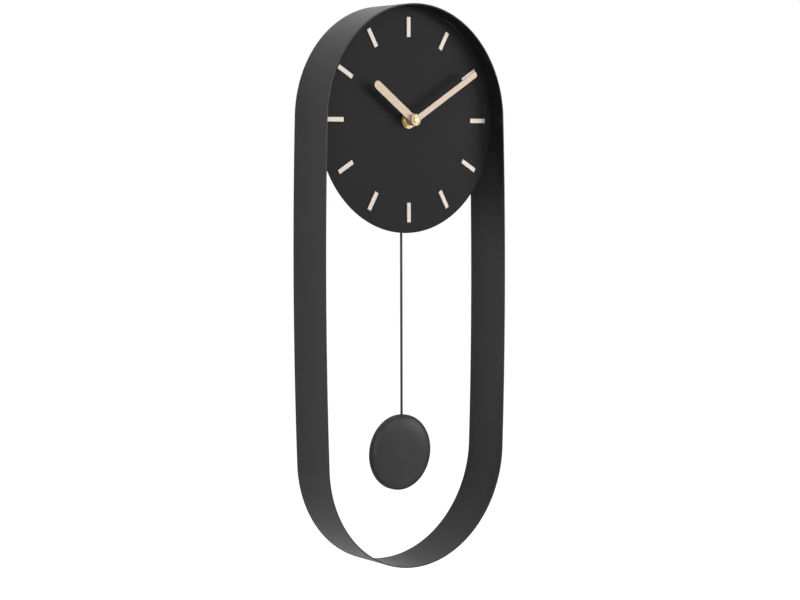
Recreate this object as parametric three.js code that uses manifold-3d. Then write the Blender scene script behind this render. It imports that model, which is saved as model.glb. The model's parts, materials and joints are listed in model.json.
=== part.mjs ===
// Pendulum wall clock: a deep steel band bent into a tall oval, a round dial set into its top,
// and a quartz movement behind the dial that turns two hands and swings a long pendulum.
// Millimetres. +X is right, +Z is up, the front faces -Y and the wall is the plane Y = 0.
// The origin is on the wall plane, on the hanger plate just below its keyhole.
import * as THREE from "three";
import { mergeVertices } from "three/addons/utils/BufferGeometryUtils.js";
import Module from "manifold-3d";

const wasm = await Module();
wasm.setup();

// Clearances
const GAP = 0.3; // between pieces that touch
const GLUE = 0.1; // film under a glued or pressed piece
const RUNNING = 0.15; // radial, between an arbor and its bearing

// Steel band
const BAND_WIDTH = 207.8;
const BAND_HEIGHT = 500;
const BAND_DEPTH = 46;
const BAND_WALL = 1.2;
const SIDE_BOW = 2.5; // how far each long side swells past the end arcs
const END_STEPS = 48;
const SIDE_STEPS = 6;

// Hanger plate in the top of the band's back edge
const HANGER_BELOW_TOP = 28; // from the band's top to the origin
const HANGER_BELOW_ORIGIN = 7;
const HANGER_THICKNESS = 1.5;
const KEYHOLE_RADIUS = 4.5;
const KEYHOLE_RISE = 9.5; // from the origin to the round end of the keyhole
const KEYHOLE_SLOT_WIDTH = 4;
const KEYHOLE_SLOT_LENGTH = 9;

// Dial
const DIAL_SETBACK = 14.7; // from the band's front edge to the dial's face
const DIAL_THICKNESS = 1.2;
const DIAL_EDGE_GAP = 0.4;
const DIAL_STEPS = 80;

// Brackets, studs and nuts that hold the dial
const BRACKET_ANGLES = { left: 172, right: 8, top: 90 };
const BRACKET_HALF_ANGLE = 5; // degrees of the band's curve
const BRACKET_THICKNESS = 1.5;
const BRACKET_DEPTH = 12;
const BRACKET_REACH = 15;
const STUD_RADIUS = 1.5;
const STUD_LENGTH = 6;
const STUD_NUT_RADIUS = 3.2; // across corners
const STUD_NUT_HEIGHT = 2.4;

// Hour markers
const MARKER_COUNT = 12;
const MARKER_LENGTH = 17.6;
const MARKER_WIDTH = 4.1;
const MARKER_HEIGHT = 1;
const MARKER_INSET = 9.4; // from the dial's rim to a marker's outer end

// Hands
const HAND_THICKNESS = 0.8;
const HOUR_HAND_ANGLE = -53.6; // clockwise from twelve
const HOUR_HAND_RISE = 8; // its face above the dial
const HOUR_HAND_WIDTH = 7.5;
const HOUR_TIP_INSET = 45.8; // from the dial's rim
const HOUR_HUB_RADIUS = 5.4;
const MINUTE_HAND_ANGLE = 59.4;
const MINUTE_HAND_RISE = 10.9;
const MINUTE_HAND_WIDTH = 5.25;
const MINUTE_TIP_INSET = 16.8;
const MINUTE_HUB_RADIUS = 5.15;
const HUB_HEIGHT = 2.6;
const HAND_NUT_RADIUS = 2.6;
const HAND_NUT_HEIGHT = 1.6;

// Threaded bush through the dial, with its nut and washers
const BUSH_RADIUS = 3.9;
const BUSH_PROUD = 0.7;
const FIXING_NUT_RADIUS = 7; // across corners
const FIXING_NUT_HEIGHT = 2.2;
const WASHER_RADIUS = 7.4;
const WASHER_THICKNESS = 0.5;
const CUSHION_RADIUS = 9;
const CUSHION_THICKNESS = 1;

// Movement housing, measured from the dial's axis
const HOUSING_HALF_WIDTH = 29;
const HOUSING_TOP = 26;
const HOUSING_WALL = 1.2;
const HOUSING_CORNER = 4;
const RIB_THICKNESS = 1.2;

// Battery, which fills the housing's width but for the room that its contacts take
const CONTACT_ROOM = 3.3;
const CONTACT_THICKNESS = 0.4;
const CONTACT_WIDTH = 9;
const BATTERY_RADIUS = 7.1;
const BATTERY_LENGTH = 2 * (HOUSING_HALF_WIDTH - HOUSING_WALL - CONTACT_ROOM);
const BATTERY_TIP_RADIUS = 2.7;
const BATTERY_TIP_LENGTH = 1.2;

// Wheels
const WHEEL_THICKNESS = 1;
const LAYER_GAP = 0.6;
const ARBOR_RADIUS = 0.6;
const PRESSURE_ANGLE = THREE.MathUtils.degToRad(20);
const TOOTH_FILL = 0.84; // how much of half a pitch a tooth covers
const ADDENDUM = 0.8; // in modules
const DEDENDUM = 1.2;
const MOTION_MODULE = 0.4; // hour wheel and its pinion
const TRAIN_MODULE = 0.3; // centre and third wheels
const FAST_MODULE = 0.25; // fourth and fifth wheels
const TEETH = {
  cannon: 12,
  minuteWheel: 36,
  minutePinion: 10,
  hourWheel: 40,
  setting: 16,
  centre: 64,
  thirdPinion: 8,
  third: 60,
  fourthPinion: 8,
  fourth: 60,
  fifthPinion: 12,
  fifth: 48,
  rotor: 8,
};

// Where each axle lies from the one before it, in degrees from +X towards +Z
const MINUTE_WHEEL_BEARING = 150;
const SETTING_BEARING = 160;
const THIRD_BEARING = 60;
const FOURTH_BEARING = -20;
const FIFTH_WALL_CLEARANCE = 2.1; // from the fifth wheel's teeth to the housing's side wall
const ROTOR_TURN = 80; // at the fifth axle, from the fourth axle round to the rotor

// Central arbor, hour pipe and setting knob
const MINUTE_ARBOR_RADIUS = 1.6;
const HAND_THREAD_RADIUS = 1.1;
const HOUR_PIPE_RADIUS = 2.6;
const MINUTE_WHEEL_HUB_RADIUS = 1.5;
const SETTING_SHAFT_RADIUS = 1.5;
const KNOB_RADIUS = 6;
const KNOB_HEIGHT = 4.5;
const KNOB_FLUTES = 16;
const KNOB_FLUTE_DEPTH = 0.5;

// Motor and circuit
const MAGNET_RADIUS = 2.9;
const ROTOR_GAP = 0.6;
const STATOR_RING = 2; // width of iron round the rotor
const COIL_RADIUS = 3.2;
const COIL_LENGTH = 17;
const COIL_OFFSET = 2.6; // from the rotor's axle to the coil's middle, to the left
const COIL_FLANGE = 0.8;
const CORE_HEIGHT = 2.4;
const CORE_OVERHANG = 4.5;
const BOARD_THICKNESS = 0.8;
const BOARD_WIDTH = 16;
const BOARD_HEIGHT = 13;
const CHIP_SIZE = 5;
const CHIP_HEIGHT = 0.8;
const CRYSTAL_RADIUS = 1;
const CRYSTAL_LENGTH = 6;

// Pendulum and its drive
const PENDULUM_SETBACK = 10; // from the dial's face to the rod's centre line
const SWING = 8; // degrees to each side
const PIVOT_DROP = 40.5; // from the dial's axis
const PIVOT_RADIUS = 1;
const PIVOT_BOSS_RADIUS = 3;
const PIVOT_BOSS_HEIGHT = 2.6;
const ARM_THICKNESS = 2.4;
const ARM_TOP_RADIUS = 4.5;
const ARM_WAIST = 7;
const ARM_BELOW_HOUSING = 12;
const DRIVE_MAGNET_RADIUS = 3;
const DRIVE_MAGNET_SEAT = 2.4; // width of the arm round the magnet
const DRIVE_MAGNET_DROP = 14.5; // from the pivot
const DRIVE_COIL_RADIUS = 7;
const DRIVE_COIL_BORE = 3;
const DRIVE_ROOM = 24; // from the pivot to the housing's bottom
const ROD_RADIUS = 1.1;
const BOB_RADIUS = 34.2;
const BOB_THICKNESS = 15.6;
const BOB_RIM = 3; // thickness at the rim
const BOB_SHEET = 1;
const BOB_BEHIND_ROD = 2.3; // from the rod's centre line to the seam of the bob's shells
const BOB_ABOVE_BOTTOM = 99.4; // from the band's inner bottom to the bob's centre

// Colours as they look, with how rough and how metallic each is
const FINISHES = {
  powderCoat: finish(0x2b2b2c, 0.5, 0.1),
  dialBlack: finish(0x2f2f30, 0.8, 0),
  champagne: finish(0xdfd0b4, 0.3, 1),
  brass: finish(0xd9b678, 0.3, 1),
  steel: finish(0xa9abad, 0.4, 1),
  blackPlastic: finish(0x202022, 0.6, 0),
  whitePlastic: finish(0xe6e4dc, 0.5, 0),
  copper: finish(0xb5653a, 0.4, 1),
  magnet: finish(0x55565a, 0.4, 1),
  board: finish(0x2c5a3c, 0.5, 0),
  battery: finish(0x8f9296, 0.4, 0.8),
  rubber: finish(0x181818, 0.9, 0),
};

function finish(color, roughness, metalness) {
  return new THREE.MeshStandardMaterial({ color, roughness, metalness });
}

// Points on a circle, or on part of one, in the plane of the dial
function arc(x, z, radius, from, to, steps) {
  const points = [];
  for (let i = 0; i < steps; i++) {
    const angle = from + ((to - from) * i) / steps;
    points.push(new THREE.Vector2(x + radius * Math.cos(angle), z + radius * Math.sin(angle)));
  }
  return points;
}

function circle(x, z, radius, steps = 24) {
  return arc(x, z, radius, 0, 2 * Math.PI, steps);
}

function rectangle(left, right, bottom, top) {
  return [
    new THREE.Vector2(left, bottom),
    new THREE.Vector2(right, bottom),
    new THREE.Vector2(right, top),
    new THREE.Vector2(left, top),
  ];
}

function roundedRectangle(left, right, bottom, top, radius, steps = 5) {
  const quarter = Math.PI / 2;
  const corners = [
    [right - radius, top - radius],
    [left + radius, top - radius],
    [left + radius, bottom + radius],
    [right - radius, bottom + radius],
  ];
  return corners.flatMap(([x, z], i) => [
    ...arc(x, z, radius, i * quarter, (i + 1) * quarter, steps),
    ...arc(x, z, radius, (i + 1) * quarter, (i + 2) * quarter, 1),
  ]);
}

// A flat piece that lies parallel to the dial, from its front plane to its back plane
function plate(outline, front, back, holes = []) {
  const shape = new THREE.Shape(outline);
  shape.holes = holes.map((points) => new THREE.Path(points));
  const geometry = new THREE.ExtrudeGeometry(shape, { depth: back - front, bevelEnabled: false });
  geometry.rotateX(Math.PI / 2);
  return geometry.translate(0, back, 0);
}

function disc(x, z, radius, front, back, steps = 16) {
  return plate(circle(x, z, radius, steps), front, back);
}

function ring(x, z, outer, inner, front, back, steps = 24) {
  return plate(circle(x, z, outer, steps), front, back, [circle(x, z, inner, steps)]);
}

// A round bar along X
function barAlongX(left, right, y, z, radius, steps = 16) {
  const geometry = new THREE.CylinderGeometry(radius, radius, right - left, steps);
  geometry.rotateZ(Math.PI / 2);
  return geometry.translate((left + right) / 2, y, z);
}

// A round bar along Z
function barAlongZ(bottom, top, x, y, radius, steps = 12) {
  const geometry = new THREE.CylinderGeometry(radius, radius, top - bottom, steps);
  geometry.rotateX(Math.PI / 2);
  return geometry.translate(x, y, (bottom + top) / 2);
}

function solid(geometry) {
  const bare = geometry.index ? geometry.toNonIndexed() : geometry.clone();
  bare.deleteAttribute("normal");
  bare.deleteAttribute("uv");
  const merged = mergeVertices(bare, 1e-4);
  const vertProperties = merged.attributes.position.array;
  const triVerts = new Uint32Array(merged.index.array);
  return new wasm.Manifold(new wasm.Mesh({ numProp: 3, vertProperties, triVerts }));
}

function geometryOf(body) {
  const { vertProperties, triVerts } = body.getMesh();
  const geometry = new THREE.BufferGeometry();
  geometry.setAttribute("position", new THREE.BufferAttribute(vertProperties, 3));
  geometry.setIndex(new THREE.BufferAttribute(triVerts, 1));
  geometry.computeVertexNormals();
  return geometry;
}

// The first geometry with the others added to it and the cuts taken out of it
function build(pieces, cuts = []) {
  const whole = pieces.map(solid).reduce((sum, next) => sum.add(next));
  return geometryOf(cuts.map(solid).reduce((left, cut) => left.subtract(cut), whole));
}

function piece(name, geometry, material) {
  const mesh = new THREE.Mesh(geometry, material);
  mesh.name = name;
  return mesh;
}

function groupOf(...children) {
  const group = new THREE.Group();
  group.add(...children);
  return group;
}

function radians(degrees) {
  return THREE.MathUtils.degToRad(degrees);
}

// Band outline: two end arcs joined by two long, shallow side arcs that are tangent to them
const endRadius = BAND_WIDTH / 2 - SIDE_BOW;
const endCentre = BAND_HEIGHT / 2 - endRadius;
const sideRadius = ((BAND_WIDTH / 2) ** 2 + endCentre ** 2 - endRadius ** 2) / (2 * SIDE_BOW);
const sideCentre = sideRadius - BAND_WIDTH / 2;
const sideAngle = Math.atan2(endCentre, sideCentre);
const innerEndRadius = endRadius - BAND_WALL;
const bandTop = HANGER_BELOW_TOP;
const bandCentre = bandTop - BAND_HEIGHT / 2;
const dialAxis = bandCentre + endCentre;

function bandOutline(inset) {
  const end = endRadius - inset;
  const side = sideRadius - inset;
  const halfTurn = Math.PI;
  return [
    ...arc(0, endCentre, end, sideAngle, halfTurn - sideAngle, END_STEPS),
    ...arc(sideCentre, 0, side, halfTurn - sideAngle, halfTurn + sideAngle, SIDE_STEPS),
    ...arc(0, -endCentre, end, halfTurn + sideAngle, 2 * halfTurn - sideAngle, END_STEPS),
    ...arc(-sideCentre, 0, side, -sideAngle, sideAngle, SIDE_STEPS),
  ];
}

function makeBand() {
  const band = plate(bandOutline(0), -BAND_DEPTH, 0, [bandOutline(BAND_WALL)]);
  const mesh = piece("case_band", band, FINISHES.powderCoat);
  mesh.position.z = bandCentre;
  return mesh;
}

// Hanger plate: a segment of a disc under the band's top, with a keyhole for one screw
function makeHangerPlate() {
  const radius = innerEndRadius - GAP;
  const chord = -HANGER_BELOW_ORIGIN - dialAxis;
  const edge = Math.asin(chord / radius);
  const outline = [
    ...arc(0, dialAxis, radius, edge, Math.PI - edge, 40),
    ...arc(0, dialAxis, radius, Math.PI - edge, Math.PI, 1),
  ];
  const slotTop = KEYHOLE_RISE + KEYHOLE_SLOT_LENGTH;
  const halfSlot = KEYHOLE_SLOT_WIDTH / 2;
  const behind = HANGER_THICKNESS + GAP;
  const cuts = [
    disc(0, KEYHOLE_RISE, KEYHOLE_RADIUS, -behind, GAP, 24),
    disc(0, slotTop, halfSlot, -behind, GAP, 16),
    plate(rectangle(-halfSlot, halfSlot, KEYHOLE_RISE, slotTop), -behind, GAP),
  ];
  return piece("hanger_plate", build([plate(outline, -HANGER_THICKNESS, 0)], cuts), FINISHES.powderCoat);
}

// Planes of the dial and of what stands in front of it and behind it
const dialFront = DIAL_SETBACK - BAND_DEPTH;
const dialBack = dialFront + DIAL_THICKNESS;
const dialRadius = innerEndRadius - DIAL_EDGE_GAP;
const washerBack = dialFront - GAP;
const washerFront = washerBack - WASHER_THICKNESS;
const nutBack = washerFront - GAP;
const nutFront = nutBack - FIXING_NUT_HEIGHT;
const bushFront = nutFront - BUSH_PROUD;
const cushionFront = dialBack + GAP;
const cushionBack = cushionFront + CUSHION_THICKNESS;
const housingFront = cushionBack + GAP;
const housingInside = housingFront + HOUSING_WALL;
const insideHalfWidth = HOUSING_HALF_WIDTH - HOUSING_WALL;

// Brackets stand on the band's inner wall, and the dial's studs pass through them
const bracketFront = dialBack + GAP;
const bracketOuter = innerEndRadius - GAP;
const studRadiusFromAxis = bracketOuter - BRACKET_REACH / 2 - BRACKET_THICKNESS / 2;

function atBracket(angle, distance) {
  return [distance * Math.cos(radians(angle)), distance * Math.sin(radians(angle))];
}

function makeBracket(side, angle) {
  const from = radians(angle - BRACKET_HALF_ANGLE);
  const to = radians(angle + BRACKET_HALF_ANGLE);
  const steps = 4;
  const segment = (outer, inner) => [
    ...arc(0, 0, outer, from, to, steps),
    ...arc(0, 0, outer, to, to, 1),
    ...arc(0, 0, inner, to, from, steps),
    ...arc(0, 0, inner, from, from, 1),
  ];
  const wallLeg = plate(
    segment(bracketOuter, bracketOuter - BRACKET_THICKNESS),
    bracketFront,
    bracketFront + BRACKET_DEPTH,
  );
  const dialLeg = plate(
    segment(bracketOuter - BRACKET_THICKNESS / 2, bracketOuter - BRACKET_REACH),
    bracketFront,
    bracketFront + BRACKET_THICKNESS,
  );
  const [x, z] = atBracket(angle, studRadiusFromAxis);
  const hole = disc(x, z, STUD_RADIUS + GAP, bracketFront - GAP, bracketFront + BRACKET_DEPTH, 12);
  return piece("dial_bracket_" + side, build([wallLeg, dialLeg], [hole]), FINISHES.powderCoat);
}

function makeBracketNut(side, angle) {
  const [x, z] = atBracket(angle, studRadiusFromAxis);
  const front = bracketFront + BRACKET_THICKNESS + GAP;
  const nut = plate(circle(x, z, STUD_NUT_RADIUS, 6), front, front + STUD_NUT_HEIGHT, [
    circle(x, z, STUD_RADIUS + RUNNING, 12),
  ]);
  return piece("dial_nut_" + side, nut, FINISHES.steel);
}

function makeDial() {
  const face = plate(circle(0, 0, dialRadius, DIAL_STEPS), dialFront, dialBack, [
    circle(0, 0, BUSH_RADIUS + GAP, 24),
  ]);
  const studs = Object.values(BRACKET_ANGLES).map((angle) => {
    const [x, z] = atBracket(angle, studRadiusFromAxis);
    return disc(x, z, STUD_RADIUS, dialBack - DIAL_THICKNESS / 2, dialBack + STUD_LENGTH, 12);
  });
  return piece("dial_plate", build([face, ...studs]), FINISHES.dialBlack);
}

function makeMarkers() {
  const outer = dialRadius - MARKER_INSET;
  const back = dialFront - GLUE;
  const half = MARKER_WIDTH / 2;
  const markers = [];
  for (let hour = 1; hour <= MARKER_COUNT; hour++) {
    const baton = plate(rectangle(-half, half, outer - MARKER_LENGTH, outer), back - MARKER_HEIGHT, back);
    const mesh = piece("hour_marker_" + String(hour).padStart(2, "0"), baton, FINISHES.champagne);
    mesh.rotation.y = (2 * Math.PI * hour) / MARKER_COUNT;
    markers.push(mesh);
  }
  return markers;
}

// A straight hand with a round tip and a round hub
function handOutline(length, width) {
  const half = width / 2;
  return [
    new THREE.Vector2(-half, 0),
    new THREE.Vector2(half, 0),
    ...arc(0, length - half, half, 0, Math.PI, 10),
    new THREE.Vector2(-half, length - half),
  ];
}

function makeHand(name, settings) {
  const front = dialFront - settings.rise;
  const back = front + HAND_THICKNESS;
  const blade = plate(handOutline(dialRadius - settings.tipInset, settings.width), front, back);
  const hub = disc(0, 0, settings.hub, front, front + HUB_HEIGHT, 32);
  const bore = disc(0, 0, settings.bore, front - GAP, front + HUB_HEIGHT + GAP, 24);
  const mesh = piece(name, build([blade, hub], [bore]), FINISHES.champagne);
  mesh.rotation.y = radians(settings.angle);
  return mesh;
}

function makeHourHand() {
  return makeHand("hour_hand", {
    rise: HOUR_HAND_RISE,
    tipInset: HOUR_TIP_INSET,
    width: HOUR_HAND_WIDTH,
    hub: HOUR_HUB_RADIUS,
    bore: HOUR_PIPE_RADIUS + GLUE,
    angle: HOUR_HAND_ANGLE,
  });
}

function makeMinuteHand() {
  return makeHand("minute_hand", {
    rise: MINUTE_HAND_RISE,
    tipInset: MINUTE_TIP_INSET,
    width: MINUTE_HAND_WIDTH,
    hub: MINUTE_HUB_RADIUS,
    bore: HAND_THREAD_RADIUS + GLUE,
    angle: MINUTE_HAND_ANGLE,
  });
}

const minuteHandFront = dialFront - MINUTE_HAND_RISE;
const hourHandFront = dialFront - HOUR_HAND_RISE;
const handNutBack = minuteHandFront - GLUE;
const handNutFront = handNutBack - HAND_NUT_HEIGHT;
const threadFront = handNutBack - HAND_NUT_HEIGHT / 2;

function makeHandNut() {
  const nut = disc(0, 0, HAND_NUT_RADIUS, handNutFront, handNutBack, 20);
  const bore = disc(0, 0, HAND_THREAD_RADIUS + GLUE, threadFront - GAP, handNutBack + GAP, 12);
  return piece("hand_nut", build([nut], [bore]), FINISHES.brass);
}

function makeBushFixings() {
  const bore = BUSH_RADIUS + GAP;
  const nut = plate(circle(0, 0, FIXING_NUT_RADIUS, 6), nutFront, nutBack, [circle(0, 0, bore)]);
  const washer = ring(0, 0, WASHER_RADIUS, bore, washerFront, washerBack, 32);
  const cushion = ring(0, 0, CUSHION_RADIUS, bore, cushionFront, cushionBack);
  return [
    piece("fixing_nut", nut, FINISHES.brass),
    piece("fixing_washer", washer, FINISHES.brass),
    piece("cushion_washer", cushion, FINISHES.rubber),
  ];
}

// Wheels stand in layers behind the housing's front wall
function layerFront(number) {
  return housingInside + LAYER_GAP + number * (WHEEL_THICKNESS + LAYER_GAP);
}

const LAYERS = { hour: 0, motion: 1, centre: 2, third: 3, fourth: 4, fifth: 5, motor: 6 };
const bridgeFront = layerFront(LAYERS.motor + 1);
const bridgeBack = bridgeFront + WHEEL_THICKNESS;
const batteryDepth = housingInside + GAP + BATTERY_RADIUS;
const coverFront = Math.max(bridgeBack + GAP, batteryDepth + BATTERY_RADIUS - HOUSING_WALL);
const coverBack = coverFront + HOUSING_WALL;
const pendulumPlane = dialFront + PENDULUM_SETBACK;

// Distance between the axles of two wheels in mesh
function meshDistance(oneTeeth, otherTeeth, module) {
  return ((oneTeeth + otherTeeth) * module) / 2;
}

function axleBeside(axle, distance, bearing) {
  const angle = radians(bearing);
  return { x: axle.x + distance * Math.cos(angle), z: axle.z + distance * Math.sin(angle) };
}

// The cannon pinion pair has its own module, so that both motion pairs share one distance
const motionDistance = meshDistance(TEETH.minutePinion, TEETH.hourWheel, MOTION_MODULE);
const cannonModule = (2 * motionDistance) / (TEETH.cannon + TEETH.minuteWheel);
const centreAxle = { x: 0, z: 0 };
const minuteWheelAxle = axleBeside(centreAxle, motionDistance, MINUTE_WHEEL_BEARING);
const settingAxle = axleBeside(
  minuteWheelAxle,
  meshDistance(TEETH.minuteWheel, TEETH.setting, cannonModule),
  SETTING_BEARING,
);
const thirdAxle = axleBeside(
  centreAxle,
  meshDistance(TEETH.centre, TEETH.thirdPinion, TRAIN_MODULE),
  THIRD_BEARING,
);
const fourthAxle = axleBeside(
  thirdAxle,
  meshDistance(TEETH.third, TEETH.fourthPinion, TRAIN_MODULE),
  FOURTH_BEARING,
);
const fifthDistance = meshDistance(TEETH.fourth, TEETH.fifthPinion, FAST_MODULE);
const fifthTip = (TEETH.fifth / 2 + ADDENDUM) * FAST_MODULE;
const fifthAcross = insideHalfWidth - FIFTH_WALL_CLEARANCE - fifthTip - fourthAxle.x;
const fifthBearing = -THREE.MathUtils.radToDeg(Math.acos(fifthAcross / fifthDistance));
const fifthAxle = axleBeside(fourthAxle, fifthDistance, fifthBearing);
const rotorBearing = fifthBearing + 180 + ROTOR_TURN;
const rotorDistance = meshDistance(TEETH.fifth, TEETH.rotor, FAST_MODULE);
const rotorAxle = axleBeside(fifthAxle, rotorDistance, rotorBearing);

// The angle of a driven wheel's first tooth that puts its teeth in the gaps of its neighbour
function meshPhase(bearing, phase, teeth, drivenTeeth) {
  const pitch = (2 * Math.PI) / drivenTeeth;
  const toothAtContact = ((radians(bearing) - phase) * teeth) / (2 * Math.PI);
  return radians(bearing) + Math.PI - pitch * (0.5 - toothAtContact);
}

const minuteWheelPhase = meshPhase(MINUTE_WHEEL_BEARING, 0, TEETH.cannon, TEETH.minuteWheel);
const hourWheelPhase = meshPhase(MINUTE_WHEEL_BEARING + 180, 0, TEETH.minutePinion, TEETH.hourWheel);
const settingPhase = meshPhase(SETTING_BEARING, minuteWheelPhase, TEETH.minuteWheel, TEETH.setting);
const thirdPhase = meshPhase(THIRD_BEARING, 0, TEETH.centre, TEETH.thirdPinion);
const fourthPhase = meshPhase(FOURTH_BEARING, 0, TEETH.third, TEETH.fourthPinion);
const fifthPhase = meshPhase(fifthBearing, 0, TEETH.fourth, TEETH.fifthPinion);
const rotorPhase = meshPhase(rotorBearing, 0, TEETH.fifth, TEETH.rotor);

// How far an involute has unrolled where it crosses a radius, as an angle
function involute(radius, base) {
  const angle = Math.acos(Math.min(1, base / radius));
  return Math.tan(angle) - angle;
}

// A spur wheel with short teeth whose flanks are chords of the involute
function gearOutline(axle, teeth, module, phase) {
  const pitch = (teeth * module) / 2;
  const base = pitch * Math.cos(PRESSURE_ANGLE);
  const tip = pitch + ADDENDUM * module;
  const root = pitch - DEDENDUM * module;
  const atPitch = (Math.PI / 2 / teeth) * TOOTH_FILL + involute(pitch, base);
  const atTip = atPitch - involute(tip, base);
  const atRoot = atPitch - involute(Math.max(root, base), base);
  const points = [];
  for (let i = 0; i < teeth; i++) {
    const middle = phase + (2 * Math.PI * i) / teeth;
    const flanks = [
      [root, -atRoot],
      [tip, -atTip],
      [tip, atTip],
      [root, atRoot],
    ];
    for (const [radius, turn] of flanks)
      points.push(
        new THREE.Vector2(
          axle.x + radius * Math.cos(middle + turn),
          axle.z + radius * Math.sin(middle + turn),
        ),
      );
  }
  return points;
}

function gear(axle, teeth, module, phase, layer, overlap = 0) {
  const front = layerFront(layer);
  return plate(
    gearOutline(axle, teeth, module, phase),
    front - overlap,
    front + WHEEL_THICKNESS + overlap,
  );
}

function arbor(axle, radius, front, back) {
  return disc(axle.x, axle.z, radius, front, back, 12);
}

// A pivot turns in a blind hole in the housing's front wall and in the bridge behind
const pivotFront = housingInside - HOUSING_WALL / 2;
const pivotBack = bridgeBack;
const PINION_OVERLAP = LAYER_GAP / 3;

function wheelWithPinion(name, axle, wheel, pinion, front = pivotFront, back = pivotBack) {
  const pieces = [
    gear(axle, wheel.teeth, wheel.module, wheel.phase, wheel.layer),
    gear(axle, pinion.teeth, pinion.module, pinion.phase, pinion.layer, PINION_OVERLAP),
    arbor(axle, ARBOR_RADIUS, front, back),
  ];
  return piece(name, build(pieces), FINISHES.whitePlastic);
}

function makeTrain() {
  const third = wheelWithPinion(
    "third_wheel",
    thirdAxle,
    { teeth: TEETH.third, module: TRAIN_MODULE, phase: 0, layer: LAYERS.third },
    { teeth: TEETH.thirdPinion, module: TRAIN_MODULE, phase: thirdPhase, layer: LAYERS.centre },
  );
  const fourth = wheelWithPinion(
    "fourth_wheel",
    fourthAxle,
    { teeth: TEETH.fourth, module: FAST_MODULE, phase: 0, layer: LAYERS.fourth },
    { teeth: TEETH.fourthPinion, module: TRAIN_MODULE, phase: fourthPhase, layer: LAYERS.third },
  );
  const fifth = wheelWithPinion(
    "fifth_wheel",
    fifthAxle,
    { teeth: TEETH.fifth, module: FAST_MODULE, phase: 0, layer: LAYERS.fifth },
    { teeth: TEETH.fifthPinion, module: FAST_MODULE, phase: fifthPhase, layer: LAYERS.fourth },
  );
  return [third, fourth, fifth];
}

// The motor's rotor: a magnet and the pinion that drives the fifth wheel
function makeRotor() {
  const magnetFront = layerFront(LAYERS.motor);
  const pieces = [
    gear(rotorAxle, TEETH.rotor, FAST_MODULE, rotorPhase, LAYERS.fifth, PINION_OVERLAP),
    disc(rotorAxle.x, rotorAxle.z, MAGNET_RADIUS, magnetFront, magnetFront + WHEEL_THICKNESS, 20),
    arbor(rotorAxle, ARBOR_RADIUS, pivotFront, pivotBack),
  ];
  return piece("rotor", build(pieces), FINISHES.magnet);
}

// The arbor that carries the minute hand, with the cannon pinion and the centre wheel
function makeCentreWheel() {
  const shoulder = minuteHandFront + HUB_HEIGHT + GLUE;
  const wheelBack = layerFront(LAYERS.centre) + WHEEL_THICKNESS;
  const pieces = [
    gear(centreAxle, TEETH.centre, TRAIN_MODULE, 0, LAYERS.centre),
    gear(centreAxle, TEETH.cannon, cannonModule, 0, LAYERS.motion, PINION_OVERLAP),
    arbor(centreAxle, MINUTE_ARBOR_RADIUS, shoulder, wheelBack),
    arbor(centreAxle, HAND_THREAD_RADIUS, threadFront, shoulder + GAP),
    arbor(centreAxle, ARBOR_RADIUS, wheelBack - GAP, pivotBack),
  ];
  return piece("centre_wheel", build(pieces), FINISHES.whitePlastic);
}

function makeHourWheel() {
  const back = layerFront(LAYERS.hour) + WHEEL_THICKNESS;
  const pieces = [
    gear(centreAxle, TEETH.hourWheel, MOTION_MODULE, hourWheelPhase, LAYERS.hour),
    disc(0, 0, HOUR_PIPE_RADIUS, hourHandFront, back, 24),
  ];
  const bore = disc(0, 0, MINUTE_ARBOR_RADIUS + GAP, hourHandFront - GAP, back + GAP, 24);
  return piece("hour_wheel", build(pieces, [bore]), FINISHES.whitePlastic);
}

const postRadius = ARBOR_RADIUS + RUNNING;

function makeMinuteWheel() {
  const axle = minuteWheelAxle;
  const back = layerFront(LAYERS.motion) + WHEEL_THICKNESS;
  const pieces = [
    gear(axle, TEETH.minuteWheel, cannonModule, minuteWheelPhase, LAYERS.motion),
    gear(axle, TEETH.minutePinion, MOTION_MODULE, 0, LAYERS.hour, PINION_OVERLAP),
    disc(axle.x, axle.z, MINUTE_WHEEL_HUB_RADIUS, layerFront(LAYERS.hour), back, 12),
  ];
  const bore = disc(axle.x, axle.z, postRadius + RUNNING, housingInside, back + GAP, 12);
  return piece("minute_wheel", build(pieces, [bore]), FINISHES.whitePlastic);
}

function knobOutline() {
  const points = [];
  for (let i = 0; i < 2 * KNOB_FLUTES; i++) {
    const angle = (Math.PI * i) / KNOB_FLUTES;
    const radius = i % 2 ? KNOB_RADIUS - KNOB_FLUTE_DEPTH : KNOB_RADIUS;
    points.push(
      new THREE.Vector2(
        settingAxle.x + radius * Math.cos(angle),
        settingAxle.z + radius * Math.sin(angle),
      ),
    );
  }
  return points;
}

function makeSettingKnob() {
  const knobFront = coverBack + GAP;
  const pieces = [
    gear(settingAxle, TEETH.setting, cannonModule, settingPhase, LAYERS.motion),
    arbor(settingAxle, SETTING_SHAFT_RADIUS, layerFront(LAYERS.motion), knobFront + GAP),
    arbor(settingAxle, ARBOR_RADIUS, pivotFront, layerFront(LAYERS.motion) + GAP),
    plate(knobOutline(), knobFront, knobFront + KNOB_HEIGHT),
  ];
  return piece("setting_knob", build(pieces), FINISHES.blackPlastic);
}

// Places inside the housing, down from the dial's axis
const centreWheelReach = (TEETH.centre * TRAIN_MODULE) / 2 + ADDENDUM * TRAIN_MODULE;
const coilRadiusOver = COIL_RADIUS + COIL_FLANGE;
const coilDrop = centreWheelReach + GAP + coilRadiusOver + LAYER_GAP;
const batteryRibDrop = coilDrop + coilRadiusOver + GAP;
const batteryDrop = batteryRibDrop + RIB_THICKNESS + GAP + BATTERY_RADIUS;
const driveRibDrop = batteryDrop + BATTERY_RADIUS + GAP;
const pivotDrop = Math.max(PIVOT_DROP, driveRibDrop + RIB_THICKNESS + GAP + ARM_TOP_RADIUS);
const housingBottom = -(pivotDrop + DRIVE_ROOM);

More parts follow.
